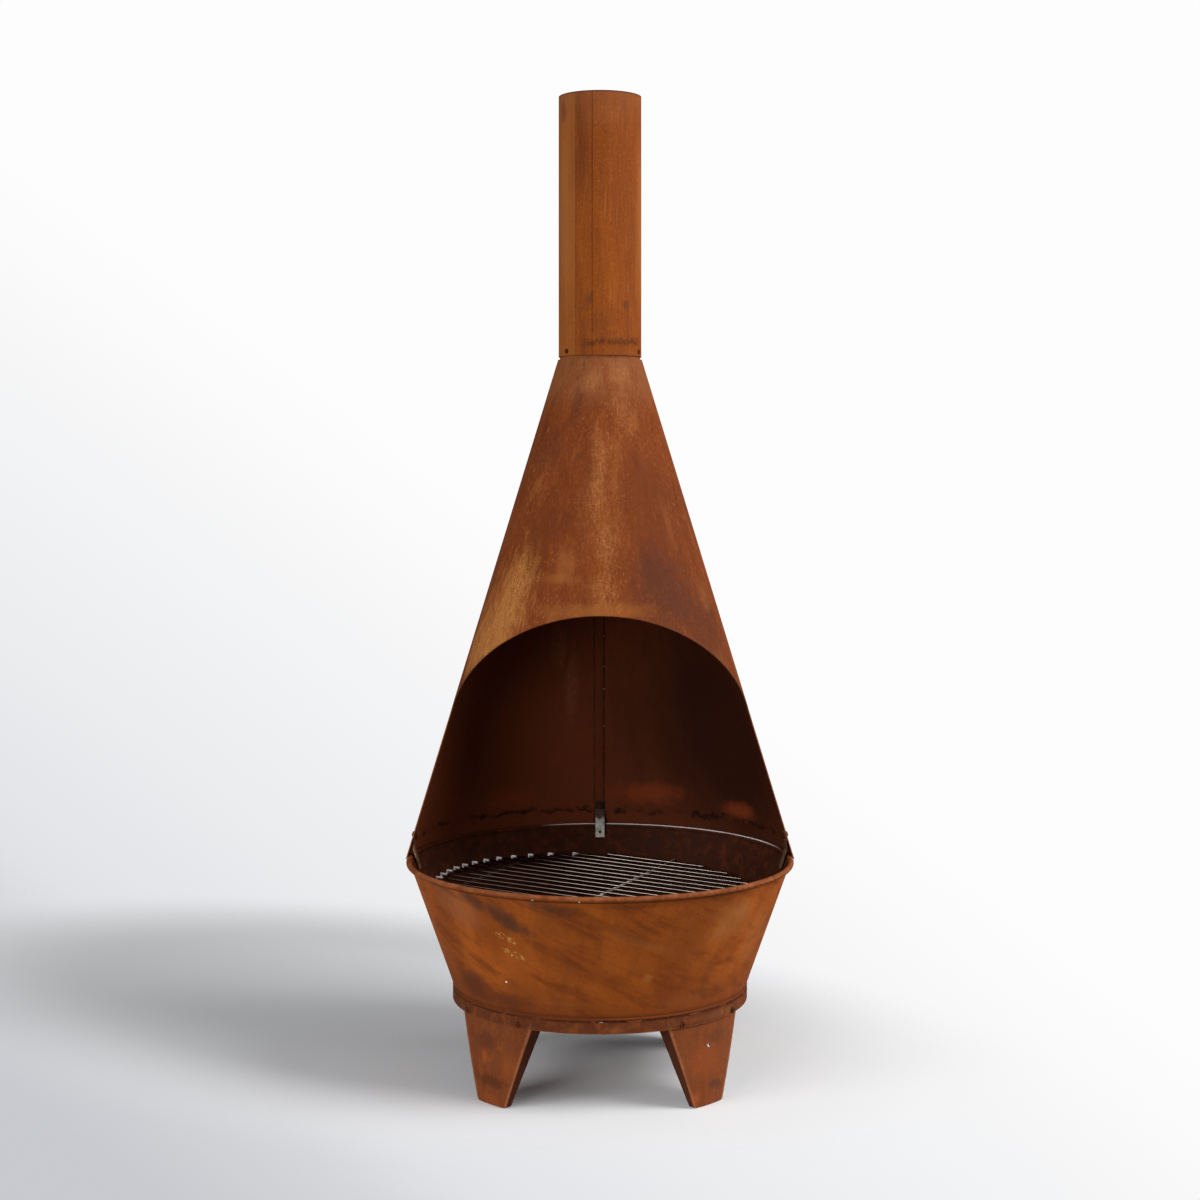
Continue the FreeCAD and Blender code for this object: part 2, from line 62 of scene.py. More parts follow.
# Sizes of the frame's pieces. A heading is an angle from the front, growing towards +X.
HOOD_LOW, HOOD_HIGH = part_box("hood_cone")
TUBE_LOW, TUBE_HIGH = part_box("chimney_tube")
BAND_LOW, BAND_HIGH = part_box("base_ring_band")
BOWL_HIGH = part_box("bowl_shell")[1]
TUBE_RADIUS = TUBE_HIGH.x
HOOD_FOOT = HOOD_HIGH.x
HOOD_TOP = 64.5 * MM
HOOD_TAPER = (HOOD_FOOT - HOOD_TOP) / (HOOD_HIGH.z - HOOD_LOW.z)
HOOD_SHEET = 1.5 * MM
BOWL_HEM_HEIGHT = 142 * MM
BOWL_HEM_RADIUS = 223.7 * MM
BOWL_FLARE = (290 - 223.7) / (326 - 142)
LEG_HEIGHT = 136.5 * MM
LEG_TOP_HALF, LEG_FOOT_HALF = 81 * MM, 31 * MM
LEG_FROM_SIDE = 44.0
LEG_RADIUS = BAND_HIGH.x - 3.2 * MM
WIRE_END_CIRCLE = 250 * MM


def rgb(red, green, blue):
    """Linear colour from the 0-255 values that a colour chart gives."""
    def linear(value):
        value /= 255
        return value / 12.92 if value <= 0.04045 else ((value + 0.055) / 1.055) ** 2.4
    return tuple(linear(value) for value in (red, green, blue))


# Stops of the backdrop: how far down and to the left, and the shade there.
BACKDROP = (
    (0.065, rgb(253, 253, 253)), (0.156, rgb(246, 246, 247)), (0.226, rgb(240, 241, 243)),
    (0.272, rgb(237, 238, 240)), (0.352, rgb(229, 230, 233)), (0.385, rgb(225, 226, 229)),
    (0.420, rgb(213, 214, 217)), (0.460, rgb(204, 206, 210)), (0.490, rgb(199, 201, 206)),
)
BACKDROP_SLANT = (-0.75, 0.0, -1.0)

# Name, its power setting and share of it, size, place, aim, colour.
LAMPS = (
    ("key", "key_power", 1.0, 2.0, (2.9, -1.4, 3.1), (0, 0, 0.62), (1.0, 0.985, 0.96)),
    ("front", "front_power", 1.0, 1.2, (-1.45, -2.75, 0.85), (0, 0, 0.45), (1.0, 1.0, 1.0)),
    ("left_strip", "side_power", 1.0, 1.0, (-1.95, -1.5, 1.25), (0, 0, 0.62), (0.98, 0.99, 1.0)),
    ("right_strip", "side_power", 0.9, 1.2, (2.3, -0.1, 0.7), (0, 0, 0.62), (1.0, 1.0, 1.0)),
)

# The patch of floor that shows: centre, reach and turn. The rest fades into the backdrop.
FLOOR_CENTRE, FLOOR_REACH = (-0.36, 0.40, 0.0), (1.25, 0.70, 1.0)
FLOOR_TURN = math.radians(145)

# Marks on the walls. A stain is a plain patch and a scuff is gritty. Each row is its kind,
# heading in degrees, height and reach (across, through, up) in millimetres, colour, strength,
# the pattern that breaks up its edge, how ragged that is, and its lean in radians.
TUBE_MARKS = (
    ("stain", -13, 1187, (6, 20, 16), "grey", 0.50, "mottle", 1.2, 0.3),
    ("stain", 38, 1177, (10, 10, 10), "grey", 0.50, "mottle", 1.3, 0),
    ("stain", 2, 1150, (30, 20, 30), "grey", 0.20, "mottle", 1.0, 0),
    ("stain", -62, 1472, (12, 12, 22), "grey", 0.55, "mottle", 1.3, 0),
    ("scuff", 10, 1462, (40, 40, 22), "dust", 0.25, "mottle", 1.1, 0),
    ("stain", -60, 1320, (30, 30, 190), "ochre", 0.60, "runs", 0.8, 0),
    ("stain", 75, 1300, (28, 28, 220), "ochre", 0.55, "runs", 0.8, 0),
)
HOOD_MARKS = (
    ("scuff", 0, 962, (20, 50, 45), "dust", 0.80, "runs", 1.1, 0),
    ("scuff", -2, 900, (17, 50, 60), "dust", 0.85, "runs", 1.1, 0.12),
    ("scuff", 3, 820, (19, 50, 60), "dust", 0.85, "runs", 1.1, -0.12),
    ("scuff", 1, 752, (30, 50, 32), "dust", 0.80, "runs", 1.2, 0),
    ("scuff", 2, 880, (45, 60, 150), "dust", 0.35, "mottle", 1.2, 0),
    ("scuff", -12, 1060, (22, 30, 30), "dust", 0.80, "mottle", 1.3, 0.7),
    ("scuff", 25, 1070, (20, 30, 28), "dust", 0.80, "mottle", 1.3, -0.8),
    ("scuff", 22, 1015, (22, 30, 50), "dust", 0.60, "mottle", 1.2, -0.3),
    ("stain", -22, 1030, (12, 30, 55), "plum", 0.40, "runs", 0.9, 0.2),
    ("stain", -45, 955, (30, 40, 60), "plum", 0.35, "mottle", 1.0, 0.3),
    ("scuff", -47, 750, (40, 60, 100), "sand", 1.35, "runs", 1.8, 0.3),
    ("scuff", -53, 690, (42, 70, 70), "sand", 1.40, "runs", 1.8, 0.3),
    ("scuff", -66, 660, (34, 70, 80), "sand", 1.35, "runs", 1.8, 0.3),
    ("stain", -58, 700, (75, 100, 130), "ochre", 0.50, "runs", 1.0, 0.3),
    ("stain", -19, 790, (20, 50, 40), "ochre", 0.40, "runs", 1.0, 0),
    ("stain", -22, 768, (45, 60, 12), "ochre", 0.35, "mottle", 1.2, 0),
    ("stain", 34, 760, (75, 90, 110), "plum", 0.75, "runs", 1.0, -0.3),
    ("stain", 58, 690, (70, 90, 90), "plum", 0.60, "runs", 1.0, -0.3),
    ("stain", 32, 880, (55, 70, 110), "deep", 0.60, "runs", 1.0, -0.3),
    ("stain", -36, 830, (30, 50, 100), "deep", 0.50, "runs", 1.0, 0.2),
    ("scuff", 64, 735, (12, 50, 35), "dust", 0.50, "runs", 1.0, -0.3),
    ("stain", 46, 850, (6, 50, 60), "dust", 0.12, "runs", 0.8, -0.3),
    ("stain", 0, 722, (130, 60, 18), "ochre", 0.45, "mottle", 1.2, 0),
)
INSIDE_MARKS = (
    # Painted shade: the first row darkens the inside on the right.
    ("stain", 125, 500, (290, 320, 400), "interior_shade", 0.85, "cloud", 0.35, 0),
    ("stain", 212, 382, (60, 90, 26), "ember", 0.90, "mottle", 1.2, 0),
    ("stain", 163, 388, (80, 90, 26), "ember", 0.90, "mottle", 1.2, 0),
    ("stain", 127, 374, (50, 60, 22), "ember", 0.80, "mottle", 1.2, 0),
    ("scuff", 192, 575, (16, 50, 90), "wear_and_highlight", 0.65, "runs", 1.0, 0),
    ("scuff", 199, 640, (20, 50, 60), "wear_and_highlight", 0.65, "runs", 1.0, 0),
)
SLANT = math.radians(24)
BOWL_MARKS = (
    ("stain", -40, 311, (40, 40, 14), "grey", 0.70, "mottle", 1.3, SLANT),
    ("stain", -30, 296, (44, 40, 17), "grey", 0.70, "mottle", 1.3, SLANT),
    ("stain", -26, 280, (38, 40, 14), "grey", 0.70, "mottle", 1.5, SLANT),
    ("stain", -14, 312, (65, 40, 13), "grey", 0.65, "mottle", 1.5, 0.15),
    ("stain", -48, 296, (70, 70, 34), "wear_and_highlight", 0.40, "mottle", 1.0, SLANT),
    ("stain", -50, 318, (40, 50, 6), "grey", 0.45, "mottle", 1.3, SLANT),
    ("stain", 8, 316, (70, 40, 5), "grey", 0.30, "mottle", 1.3, 0),
    ("stain", -52, 172, (60, 55, 38), "plum", 0.85, "mottle", 1.1, 0),
    ("stain", -36, 160, (70, 50, 20), "plum", 0.70, "mottle", 1.1, 0),
    ("stain", 45, 282, (60, 60, 38), "ochre", 0.55, "mottle", 1.1, 0),
    ("scuff", 40, 262, (35, 40, 20), "dust", 0.60, "mottle", 1.2, 0),
    ("scuff", 48, 292, (30, 40, 14), "dust", 0.70, "mottle", 1.2, 0),
    ("stain", 62, 240, (45, 60, 70), "ochre", 0.35, "mottle", 1.0, 0),
    ("stain", 33, 162, (70, 50, 14), "ochre", 0.35, "mottle", 1.1, 0),
    ("scuff", 16, 205, (10, 20, 8), "dust", 1.00, "mottle", 1.4, 0),
    ("stain", 12, 262, (90, 60, 12), "ochre", 0.30, "mottle", 1.2, SLANT),
    ("stain", 0, 290, (120, 60, 12), "deep", 0.40, "mottle", 1.2, SLANT),
    ("stain", -2, 212, (110, 60, 20), "deep", 0.35, "mottle", 1.0, SLANT),
    ("stain", -14, 166, (60, 40, 5), "ochre", 0.40, "mottle", 1.4, 0),
)
STAND_MARKS = (
    ("stain", -49.5, 68, (7, 20, 16), "flare", 0.75, "mottle", 0.8, 0),
    ("stain", -36, 60, (30, 30, 30), "flare", 0.30, "mottle", 0.9, 0),
    ("stain", -46, 34, (50, 50, 12), "scorch", 0.50, "mottle", 1.1, 0),
    ("stain", -50, 92, (30, 30, 20), "plum", 0.55, "mottle", 1.0, 0),
    ("stain", -47, 8, (30, 30, 12), "flare", 0.30, "mottle", 1.0, 0),
    ("stain", 44, 70, (45, 45, 40), "flare", 0.35, "mottle", 0.9, 0),
    ("stain", 50, 27, (20, 20, 12), "grey", 0.65, "mottle", 1.3, 0),
    ("stain", 38, 14, (16, 16, 12), "flare", 0.55, "mottle", 1.0, 0),
    ("stain", 50, 96, (40, 40, 12), "grey", 0.35, "mottle", 1.2, 0),
    ("scuff", 6, 127, (16, 16, 6), "dust", 0.90, "mottle", 1.3, 0),
    # Painted light: the next row is a pale spot where light shows through the hole in the front
    # right leg.
    ("stain", 45.7, 87, (3.4, 6, 3.4), "bare_and_hole_light", 1.00, "mottle", 0.2, 0),
    ("stain", 52, 130, (50, 50, 8), "ochre", 0.50, "mottle", 1.2, 0),
)
# Scratches on the bowl: heading, height, reach. Nicks: heading, height, how far proud.
BOWL_SCRATCHES = ((-31.5, 262, (14, 20, 6)), (-28.5, 257, (10, 20, 5)),
                  (-30, 238, (16, 20, 4)), (-26.5, 235, (12, 20, 5)))
BOWL_NICKS = ((-34, 190.5, 0), (-18.7, 325, 6), (-5.6, 325.2, 6))
NICK_REACH = (1.7, 6, 1.7)

# Inside of the hood: the height of the tide mark, the sides of the seam's strap, and the heights
# and reach of the pinholes beside it, painted as pale spots of light coming through.
TIDE_HEIGHT = 379 * MM
STRAP_LEFT, STRAP_RIGHT = -9.2 * MM, 6.6 * MM
PINHOLES = (502, 566, 604, 655)
PINHOLE_REACH = (1.1, 4, 1.3)
TIDE_BLACK, GAP_BLACK = (0.004, 0.003, 0.003), (0.003, 0.002, 0.002)
PINHOLE_LIGHT = (0.42, 0.38, 0.34)


# ---------------------------------------------------------------- places on the object

def hood_radius(height):
    return HOOD_FOOT - (height - HOOD_LOW.z) * HOOD_TAPER


def bowl_radius(height):
    return BOWL_HEM_RADIUS + (height - BOWL_HEM_HEIGHT) * BOWL_FLARE


WALLS = {"hood": hood_radius, "bowl": bowl_radius, "tube": lambda height: TUBE_RADIUS,
         "leg": lambda height: LEG_RADIUS}


def outward(heading):
    """Level direction at a heading: 0 is the front, 90 the right (+X)."""
    turn = math.radians(heading)
    return Vector((math.sin(turn), -math.cos(turn), 0))


def on_wall(wall, heading, height, proud=0.0):
    """Place on a wall, with heading in degrees and lengths in millimetres."""
    radius = WALLS[wall](height * MM) + proud * MM
    return outward(heading) * radius + Vector((0, 0, height * MM))


def in_metres(lengths):
    return tuple(length * MM for length in lengths)


# ---------------------------------------------------------------- finishes

class Coat:
    """One procedural finish, built node by node on object coordinates."""

    def __init__(self, name, metallic=0.0, specular=0.06):
        self.material = bpy.data.materials.new(name)
        self.material.use_nodes = True
        self.nodes = self.material.node_tree.nodes
        self.links = self.material.node_tree.links
        self.nodes.clear()
        self.shader = self.add("BsdfPrincipled",
                               {"Metallic": metallic, "Specular IOR Level": specular})
        self.add("OutputMaterial", {"Surface": self.shader.outputs["BSDF"]})
        places = self.add("TexCoord")
        self.place = places.outputs["Object"]
        self.normal = places.outputs["Normal"]

    def add(self, kind, inputs=None, **settings):
        node = self.nodes.new("ShaderNode" + kind)
        for key, value in settings.items():
            setattr(node, key, value)
        for socket, value in (inputs or {}).items():
            if isinstance(value, bpy.types.NodeSocket):
                self.links.new(value, node.inputs[socket])
            else:
                node.inputs[socket].default_value = value
        return node

    def calc(self, operation, first, second=0.0, third=0.0):
        return self.add("Math", {0: first, 1: second, 2: third}, operation=operation).outputs[0]

    def vector(self, operation, first, second=None, output=0):
        inputs = {0: first} if second is None else {0: first, 1: second}
        return self.add("VectorMath", inputs, operation=operation).outputs[output]

    def level(self, value, low, high, start=0.0, end=1.0):
        """Eases from start to end while value goes from low to high."""
        inputs = {"Value": value, "From Min": low, "From Max": high, "To Min": start,
                  "To Max": end}
        return self.add("MapRange", inputs, interpolation_type="SMOOTHSTEP").outputs["Result"]

    def line(self, value, middle, reach, core, strength=1.0):
        """Full strength while value is within core of the middle, gone at reach from it."""
        gap = self.calc("ABSOLUTE", self.calc("SUBTRACT", value, middle))
        return self.level(gap, reach, core, 0, strength)

    def both(self, first, *others):
        """Where all of these masks show at once."""
        for mask in others:
            first = self.calc("MULTIPLY", first, mask)
        return first

    def mix(self, factor, first, second):
        def colour(value):
            return value if isinstance(value, bpy.types.NodeSocket) else (*value, 1.0)
        inputs = {0: factor, 6: colour(first), 7: colour(second)}
        return self.add("Mix", inputs, data_type="RGBA").outputs[2]

    def axes(self):
        """Distance to the right, distance to the back, and height."""
        return self.add("SeparateXYZ", {0: self.place}).outputs

    def heading(self):
        """Angle about the middle axis: 0 at the front, growing to the right."""
        across, depth, _ = self.axes()
        return self.calc("ARCTAN2", across, self.calc("MULTIPLY", depth, -1.0))

    def facing_out(self):
        """1 on faces turned away from the middle axis, -1 on faces turned towards it."""
        flat = self.vector("MULTIPLY", self.place, (1.0, 1.0, 0.0))
        return self.vector("DOT_PRODUCT", self.normal, self.vector("NORMALIZE", flat), output=1)

    def noise(self, size, detail=3.0, roughness=0.55, stretch=(1, 1, 1), turn=(0, 0, 0),
              shift=(0, 0, 0), warp=0.0):
        """Cloudy pattern whose blots are about size wide, drawn out by stretch."""
        inputs = {"Vector": self.place, "Location": shift, "Rotation": turn, "Scale": stretch}
        placed = self.add("Mapping", inputs, vector_type="TEXTURE").outputs[0]
        inputs = {"Vector": placed, "Scale": 1 / size, "Detail": detail, "Roughness": roughness,
                  "Distortion": warp}
        return self.add("TexNoise", inputs).outputs[0]

    def spot(self, centre, reach, edge=0.5, turn=(0, 0, 0), pattern=None, ragged=0.0):
        """Mask of one soft patch: 1 inside, fading out at reach."""
        inputs = {"Vector": self.place, "Location": centre, "Rotation": turn, "Scale": reach}
        local = self.add("Mapping", inputs, vector_type="TEXTURE").outputs[0]
        distance = self.vector("LENGTH", local, output=1)
        if pattern is not None:
            distance = self.calc("MULTIPLY_ADD", pattern, ragged, distance)
            distance = self.calc("SUBTRACT", distance, ragged / 2)
        return self.level(distance, 1.0, 1.0 - edge)

    def finish(self, colour, roughness, relief, depth):
        """Puts the colour, roughness and relief on the shader. depth is in millimetres."""
        self.links.new(colour, self.shader.inputs["Base Color"])
        self.links.new(roughness, self.shader.inputs["Roughness"])
        raised = self.add("Bump", {"Height": relief, "Distance": depth * MM, "Strength": 1.0})
        self.links.new(raised.outputs["Normal"], self.shader.inputs["Normal"])
        return self.material


def rust_layers(coat, finish, body, bright, clouds=0.6, blotches=0.4, streak=0.4, grain=0.3):
    """Clouds, runs, blotches and grain of a rusted sheet. Returns the colour and its patterns."""
    cloud = coat.noise(0.085, 4.0, 0.6, stretch=(1, 1, 2.2), warp=0.5)
    runs = coat.noise(0.009, 4.0, 0.62, stretch=(1, 1, 16))
    fine_runs = coat.noise(0.0032, 2.0, 0.5, stretch=(1, 1, 26), shift=(0.2, 0.1, 0))
    mottle = coat.noise(0.016, 5.0, 0.68, shift=(0.1, 0.3, 0.2))
    speckle = coat.noise(0.0026, 3.0, 0.7, shift=(0.4, 0.0, 0.1))
    colour = coat.mix(coat.level(cloud, 0.62, 0.36, 0, clouds), body, finish.deep)
    for pattern, start, full, strength, tone in (
            (mottle, 0.46, 0.78, blotches, bright), (runs, 0.48, 0.74, streak, finish.deep),
            (runs, 0.46, 0.24, streak * 0.8, bright), (fine_runs, 0.50, 0.78, streak * 0.9, bright),
            (speckle, 0.55, 0.78, grain, finish.dust), (speckle, 0.45, 0.26, grain, finish.pits_and_shade)):
        colour = coat.mix(coat.level(pattern, start, full, 0, strength), colour, tone)
    return colour, {"cloud": cloud, "runs": runs, "mottle": mottle, "speckle": speckle,
                    "fine_runs": fine_runs}


def add_drawn_marks(coat, colour, finish, pale, strength):
    """Broad upright streaks and hair-fine scratches left by rolling the sheet."""
    broad = coat.noise(0.026, 3.0, 0.6, stretch=(1, 1, 9), shift=(0.5, 0.2, 0.1), warp=0.2)
    colour = coat.mix(coat.level(broad, 0.50, 0.70, 0, strength), colour, finish.deep)
    colour = coat.mix(coat.level(broad, 0.60, 0.80, 0, strength * 0.5), colour, finish.pits_and_shade)
    colour = coat.mix(coat.level(broad, 0.44, 0.28, 0, strength * 0.5), colour, pale)
    hairs = coat.noise(0.0017, 2.0, 0.5, stretch=(1, 1, 34), turn=(0, 0.03, 0), shift=(0.9, 0.4, 0))
    thick = coat.noise(0.05, 3.0, 0.6, stretch=(1, 1, 2), shift=(0.3, 0.8, 0.6))
    fine = coat.both(coat.level(hairs, 0.58, 0.72, 0, strength * 0.8),
                     coat.level(thick, 0.42, 0.62, 0.25, 1.0))
    return coat.mix(fine, colour, finish.dust)


def add_marks(coat, colour, finish, wall, marks, patterns):
    """Lays a table of stains and scuffs over the colour."""
    for kind, heading, height, reach, tone, strength, pattern, ragged, lean in marks:
        mask = coat.spot(on_wall(wall, heading, height), in_metres(reach), 0.8, (0, lean, 0),
                         patterns[pattern], ragged)
        if kind == "scuff":
            grit = coat.level(patterns["speckle"], 0.38, 0.66, 0.22 * strength, 0.75 * strength)
            drawn = coat.level(patterns["fine_runs"], 0.36, 0.62, 0.5, 1.0)
            mask = coat.both(mask, coat.both(grit, drawn))
        else:
            mask = coat.both(mask, strength)
        colour = coat.mix(mask, colour, getattr(finish, tone))
    return colour


def surface(coat, colour, patterns, rough=(0.62, 0.86), depth=0.35):
    """Roughness and relief of a rusted sheet from its patterns."""
    roughness = coat.level(patterns["mottle"], 0.35, 0.7, *rough)
    relief = coat.calc("MULTIPLY_ADD", patterns["mottle"], 0.6, patterns["speckle"])
    return coat.finish(colour, roughness, relief, depth)


def tube_rust(finish):
    coat = Coat("tube_rust_patina")
    colour, patterns = rust_layers(coat, finish, finish.tube, finish.bright, clouds=0.45,
                                   blotches=0.34, streak=0.26, grain=0.55)
    colour = add_drawn_marks(coat, colour, finish, finish.bright, 0.42)
    height, heading = coat.axes()[2], coat.heading()
    seam = bpy.context.scene.chiminea_seams.tube_heading
    beside = coat.level(coat.calc("SUBTRACT", heading, seam), 0.0, -0.03, 0, 0.30)
    colour = coat.mix(beside, colour, finish.ochre)
    dots = coat.noise(0.005, 2.0, 0.6, shift=(0.7, 0.2, 0.4))
    seam_line = coat.both(coat.line(heading, seam, 0.020, 0.004),
                          coat.level(dots, 0.40, 0.58, 0.25, 0.9))
    colour = coat.mix(seam_line, colour, finish.scorch)
    top = coat.level(height, TUBE_HIGH.z - 70 * MM, TUBE_HIGH.z, 0, 0.22)
    colour = coat.mix(top, colour, finish.wear_and_highlight)
    rim = coat.level(height, TUBE_HIGH.z - 3 * MM, TUBE_HIGH.z - 0.5 * MM, 0, 0.8)
    colour = coat.mix(rim, colour, finish.scorch)
    foot = coat.level(height, TUBE_LOW.z + 1.5 * MM, TUBE_LOW.z)
    colour = coat.mix(foot, colour, finish.scorch)
    colour = add_marks(coat, colour, finish, "tube", TUBE_MARKS, patterns)
    wander = coat.calc("MULTIPLY_ADD", heading, -2 * MM, height)
    wander = coat.calc("MULTIPLY_ADD", patterns["mottle"], 14 * MM, wander)
    foot_stain = coat.both(coat.line(wander, TUBE_LOW.z + 27 * MM, 9 * MM, 1 * MM, 0.62),
                           coat.line(heading, 0.38, 1.0, 0.6),
                           coat.level(dots, 0.36, 0.56, 0.35, 1.0))
    colour = coat.mix(foot_stain, colour, finish.scorch)
    inside = coat.level(coat.facing_out(), -0.2, -0.7)
    return surface(coat, coat.mix(inside, colour, finish.soot), patterns)


def hood_inside(coat, finish, patterns):
    """Soot with redder runs, the tide mark, the gaps along the seam's strap, and painted light at
    the pinholes beside it.
    """
    across, depth, height = coat.axes()
    runs = coat.noise(0.016, 4.0, 0.6, stretch=(1, 1, 9), shift=(0.3, 0, 0.5))
    soot = coat.mix(coat.level(runs, 0.46, 0.82, 0, 0.45), finish.soot, finish.ember)
    soot = coat.mix(coat.level(patterns["speckle"], 0.56, 0.78, 0, 0.20), soot, finish.ember)
    high = coat.both(coat.level(height, 520 * MM, 720 * MM, 0, 0.55),
                     coat.level(patterns["runs"], 0.62, 0.38))
    soot = coat.mix(high, soot, finish.ember)
    soot = add_marks(coat, soot, finish, "hood", INSIDE_MARKS, patterns)
    tide = coat.calc("MULTIPLY_ADD", patterns["mottle"], 45 * MM, height)
    patchy = coat.noise(0.035, 3.0, 0.6, shift=(0.6, 0.1, 0.9))
    tide_mark = coat.both(coat.line(tide, TIDE_HEIGHT, 6.5 * MM, 1.0 * MM, 0.8),
                          coat.level(patchy, 0.42, 0.60, 0.12, 1.0))
    soot = coat.mix(tide_mark, soot, TIDE_BLACK)
    broken = coat.noise(0.02, 3.0, 0.6, shift=(0.1, 0.6, 0.2))
    behind = coat.calc("GREATER_THAN", depth, 0.0)
    for side in (STRAP_LEFT, STRAP_RIGHT):
        gap = coat.both(coat.line(across, side, 2.2 * MM, 0.7 * MM), behind,
                        coat.level(broken, 0.3, 0.6, 0.15, 0.60))
        soot = coat.mix(gap, soot, GAP_BLACK)
    # Painted light: pale spots stand in for light coming through the pinholes.
    for level in in_metres(PINHOLES):
        hole = coat.spot((STRAP_RIGHT, hood_radius(level) - 2 * MM, level),
                         in_metres(PINHOLE_REACH), 0.6)
        soot = coat.mix(hole, soot, PINHOLE_LIGHT)
    return soot


def hood_rust(finish):
    coat = Coat("hood_rust_patina")
    colour, patterns = rust_layers(coat, finish, finish.hood, finish.bright, clouds=0.70,
                                   blotches=0.24, streak=0.30, grain=0.36)
    colour = add_drawn_marks(coat, colour, finish, finish.ochre, 0.80)
    wavy = coat.calc("MULTIPLY_ADD", patterns["mottle"], 30 * MM, coat.axes()[2])
    top = coat.both(coat.level(wavy, HOOD_HIGH.z - 75 * MM, HOOD_HIGH.z - 15 * MM, 0, 0.62),
                    coat.level(patterns["runs"], 0.30, 0.62, 0.35, 1.0))
    colour = coat.mix(top, colour, finish.tan)
    colour = add_marks(coat, colour, finish, "hood", HOOD_MARKS, patterns)
    facing = coat.facing_out()
    inside = coat.level(facing, -0.35, -0.75)
    colour = coat.mix(inside, colour, hood_inside(coat, finish, patterns))
    # Lighter edges: partly wear, partly painted highlight where the edges catch light.
    edge_wear_and_highlight = coat.level(coat.calc("ABSOLUTE", facing), 0.72, 0.35, 0, 0.75)
    return surface(coat, coat.mix(edge_wear_and_highlight, colour, finish.wear_and_highlight), patterns)


def scratch_bowl(coat, colour, finish, patterns):
    """Straw-coloured scratches on the bowl's left."""
    scored = coat.noise(0.0021, 2.0, 0.5, stretch=(4.0, 1, 1), turn=(0, math.radians(40), 0),
                        shift=(0.2, 0, 0))
    for heading, height, reach in BOWL_SCRATCHES:
        where = coat.spot(on_wall("bowl", heading, height), in_metres(reach), 0.4, (0, 0.5, 0),
                          patterns["mottle"], 0.4)
        scratch = coat.both(where, coat.level(scored, 0.54, 0.60))
        colour = coat.mix(scratch, colour, finish.straw)
    return colour


def darken_bowl(coat, colour, finish, patterns, facing, upright):
    """Charred floor, inside and far side of the bowl."""
    _, depth, height = coat.axes()
    char = coat.mix(coat.level(patterns["mottle"], 0.42, 0.75, 0, 0.6), finish.char, finish.soot)
    floor = coat.both(coat.level(upright, 0.6, 0.9), coat.level(height, 200 * MM, 170 * MM))
    inside = coat.both(coat.level(height, BOWL_HIGH.z - 1.5 * MM, BOWL_HIGH.z - 4 * MM),
                       coat.level(facing, -0.2, -0.6))
    far = coat.both(coat.level(depth, 0.0, 60 * MM, 0, 0.85), coat.level(facing, 0.75, 0.35))
    for mask in (floor, inside, far):
        colour = coat.mix(mask, colour, char)
    return colour


def paint_lip_highlight(coat, colour, finish, facing, upright):
    """Painted highlight: a bright line on the lip's inner crest, at the back."""
    across, depth, height = coat.axes()
    bearing = coat.calc("ARCTAN2", across, depth)
    tilt = coat.calc("MULTIPLY_ADD", facing, -0.45, coat.calc("MULTIPLY", upright, 0.89))
    rim_highlight_mask = coat.both(coat.level(bearing, math.radians(-22), math.radians(-8)),
                       coat.level(bearing, math.radians(80), math.radians(60)),
                       coat.level(tilt, 0.93, 0.985),
                       coat.level(height, BOWL_HIGH.z - 3 * MM, BOWL_HIGH.z - 1.5 * MM))
    return coat.mix(rim_highlight_mask, colour, finish.highlight_white)


def bowl_rust(finish):
    coat = Coat("bowl_rust_patina")
    colour, patterns = rust_layers(coat, finish, finish.bowl, finish.bright, clouds=0.50,
                                   blotches=0.30, streak=0.10, grain=0.38)
    swipe = coat.noise(0.016, 4.0, 0.6, stretch=(7, 3, 1), turn=(0, math.radians(26), 0), warp=0.3)
    colour = coat.mix(coat.level(swipe, 0.48, 0.72, 0, 0.60), colour, finish.deep)
    colour = coat.mix(coat.level(swipe, 0.44, 0.28, 0, 0.35), colour, finish.bright)
    colour = add_marks(coat, colour, finish, "bowl", BOWL_MARKS, patterns)
    colour = scratch_bowl(coat, colour, finish, patterns)
    mottle, height, facing = patterns["mottle"], coat.axes()[2], coat.facing_out()
    low_down = coat.calc("MULTIPLY_ADD", patterns["cloud"], 60 * MM, height)
    colour = coat.mix(coat.level(low_down, 250 * MM, 170 * MM, 0, 0.55), colour, finish.deep)
    # Painted shade: darker low on the wall, at the crease where the bowl meets the ring.
    hem = coat.level(height, BOWL_HEM_HEIGHT + 10 * MM, BOWL_HEM_HEIGHT + 2 * MM, 0, 0.5)
    colour = coat.mix(hem, colour, finish.pits_and_shade)
    brown = coat.both(coat.level(height, BOWL_HIGH.z - 8 * MM, BOWL_HIGH.z - 5 * MM),
                      coat.level(mottle, 0.68, 0.40, 0.25, 0.75))
    colour = coat.mix(brown, colour, finish.deep)
    # Lighter lip: partly wear, partly painted highlight on the bead.
    lip = coat.both(coat.level(height, BOWL_HIGH.z - 7 * MM, BOWL_HIGH.z - 3 * MM),
                    coat.level(mottle, 0.35, 0.65, 0.10, 0.55), coat.level(facing, -0.5, 0.1))
    colour = coat.mix(lip, colour, finish.wear_and_highlight)
    # Painted shadow: a dark line under the lip's bead.
    under = coat.both(coat.line(height, BOWL_HIGH.z - 9 * MM, 2.4 * MM, 0.8 * MM),
                      coat.level(facing, 0.0, 0.5, 0, 0.6))
    colour = coat.mix(under, colour, finish.pits_and_shade)
    for heading, level, proud in BOWL_NICKS:
        nick = coat.spot(on_wall("bowl", heading, level, proud), in_metres(NICK_REACH))
        colour = coat.mix(nick, colour, finish.bare_and_hole_light)
    upright = coat.add("SeparateXYZ", {0: coat.normal}).outputs[2]
    colour = darken_bowl(coat, colour, finish, patterns, facing, upright)
    colour = paint_lip_highlight(coat, colour, finish, facing, upright)
    return surface(coat, colour, patterns)


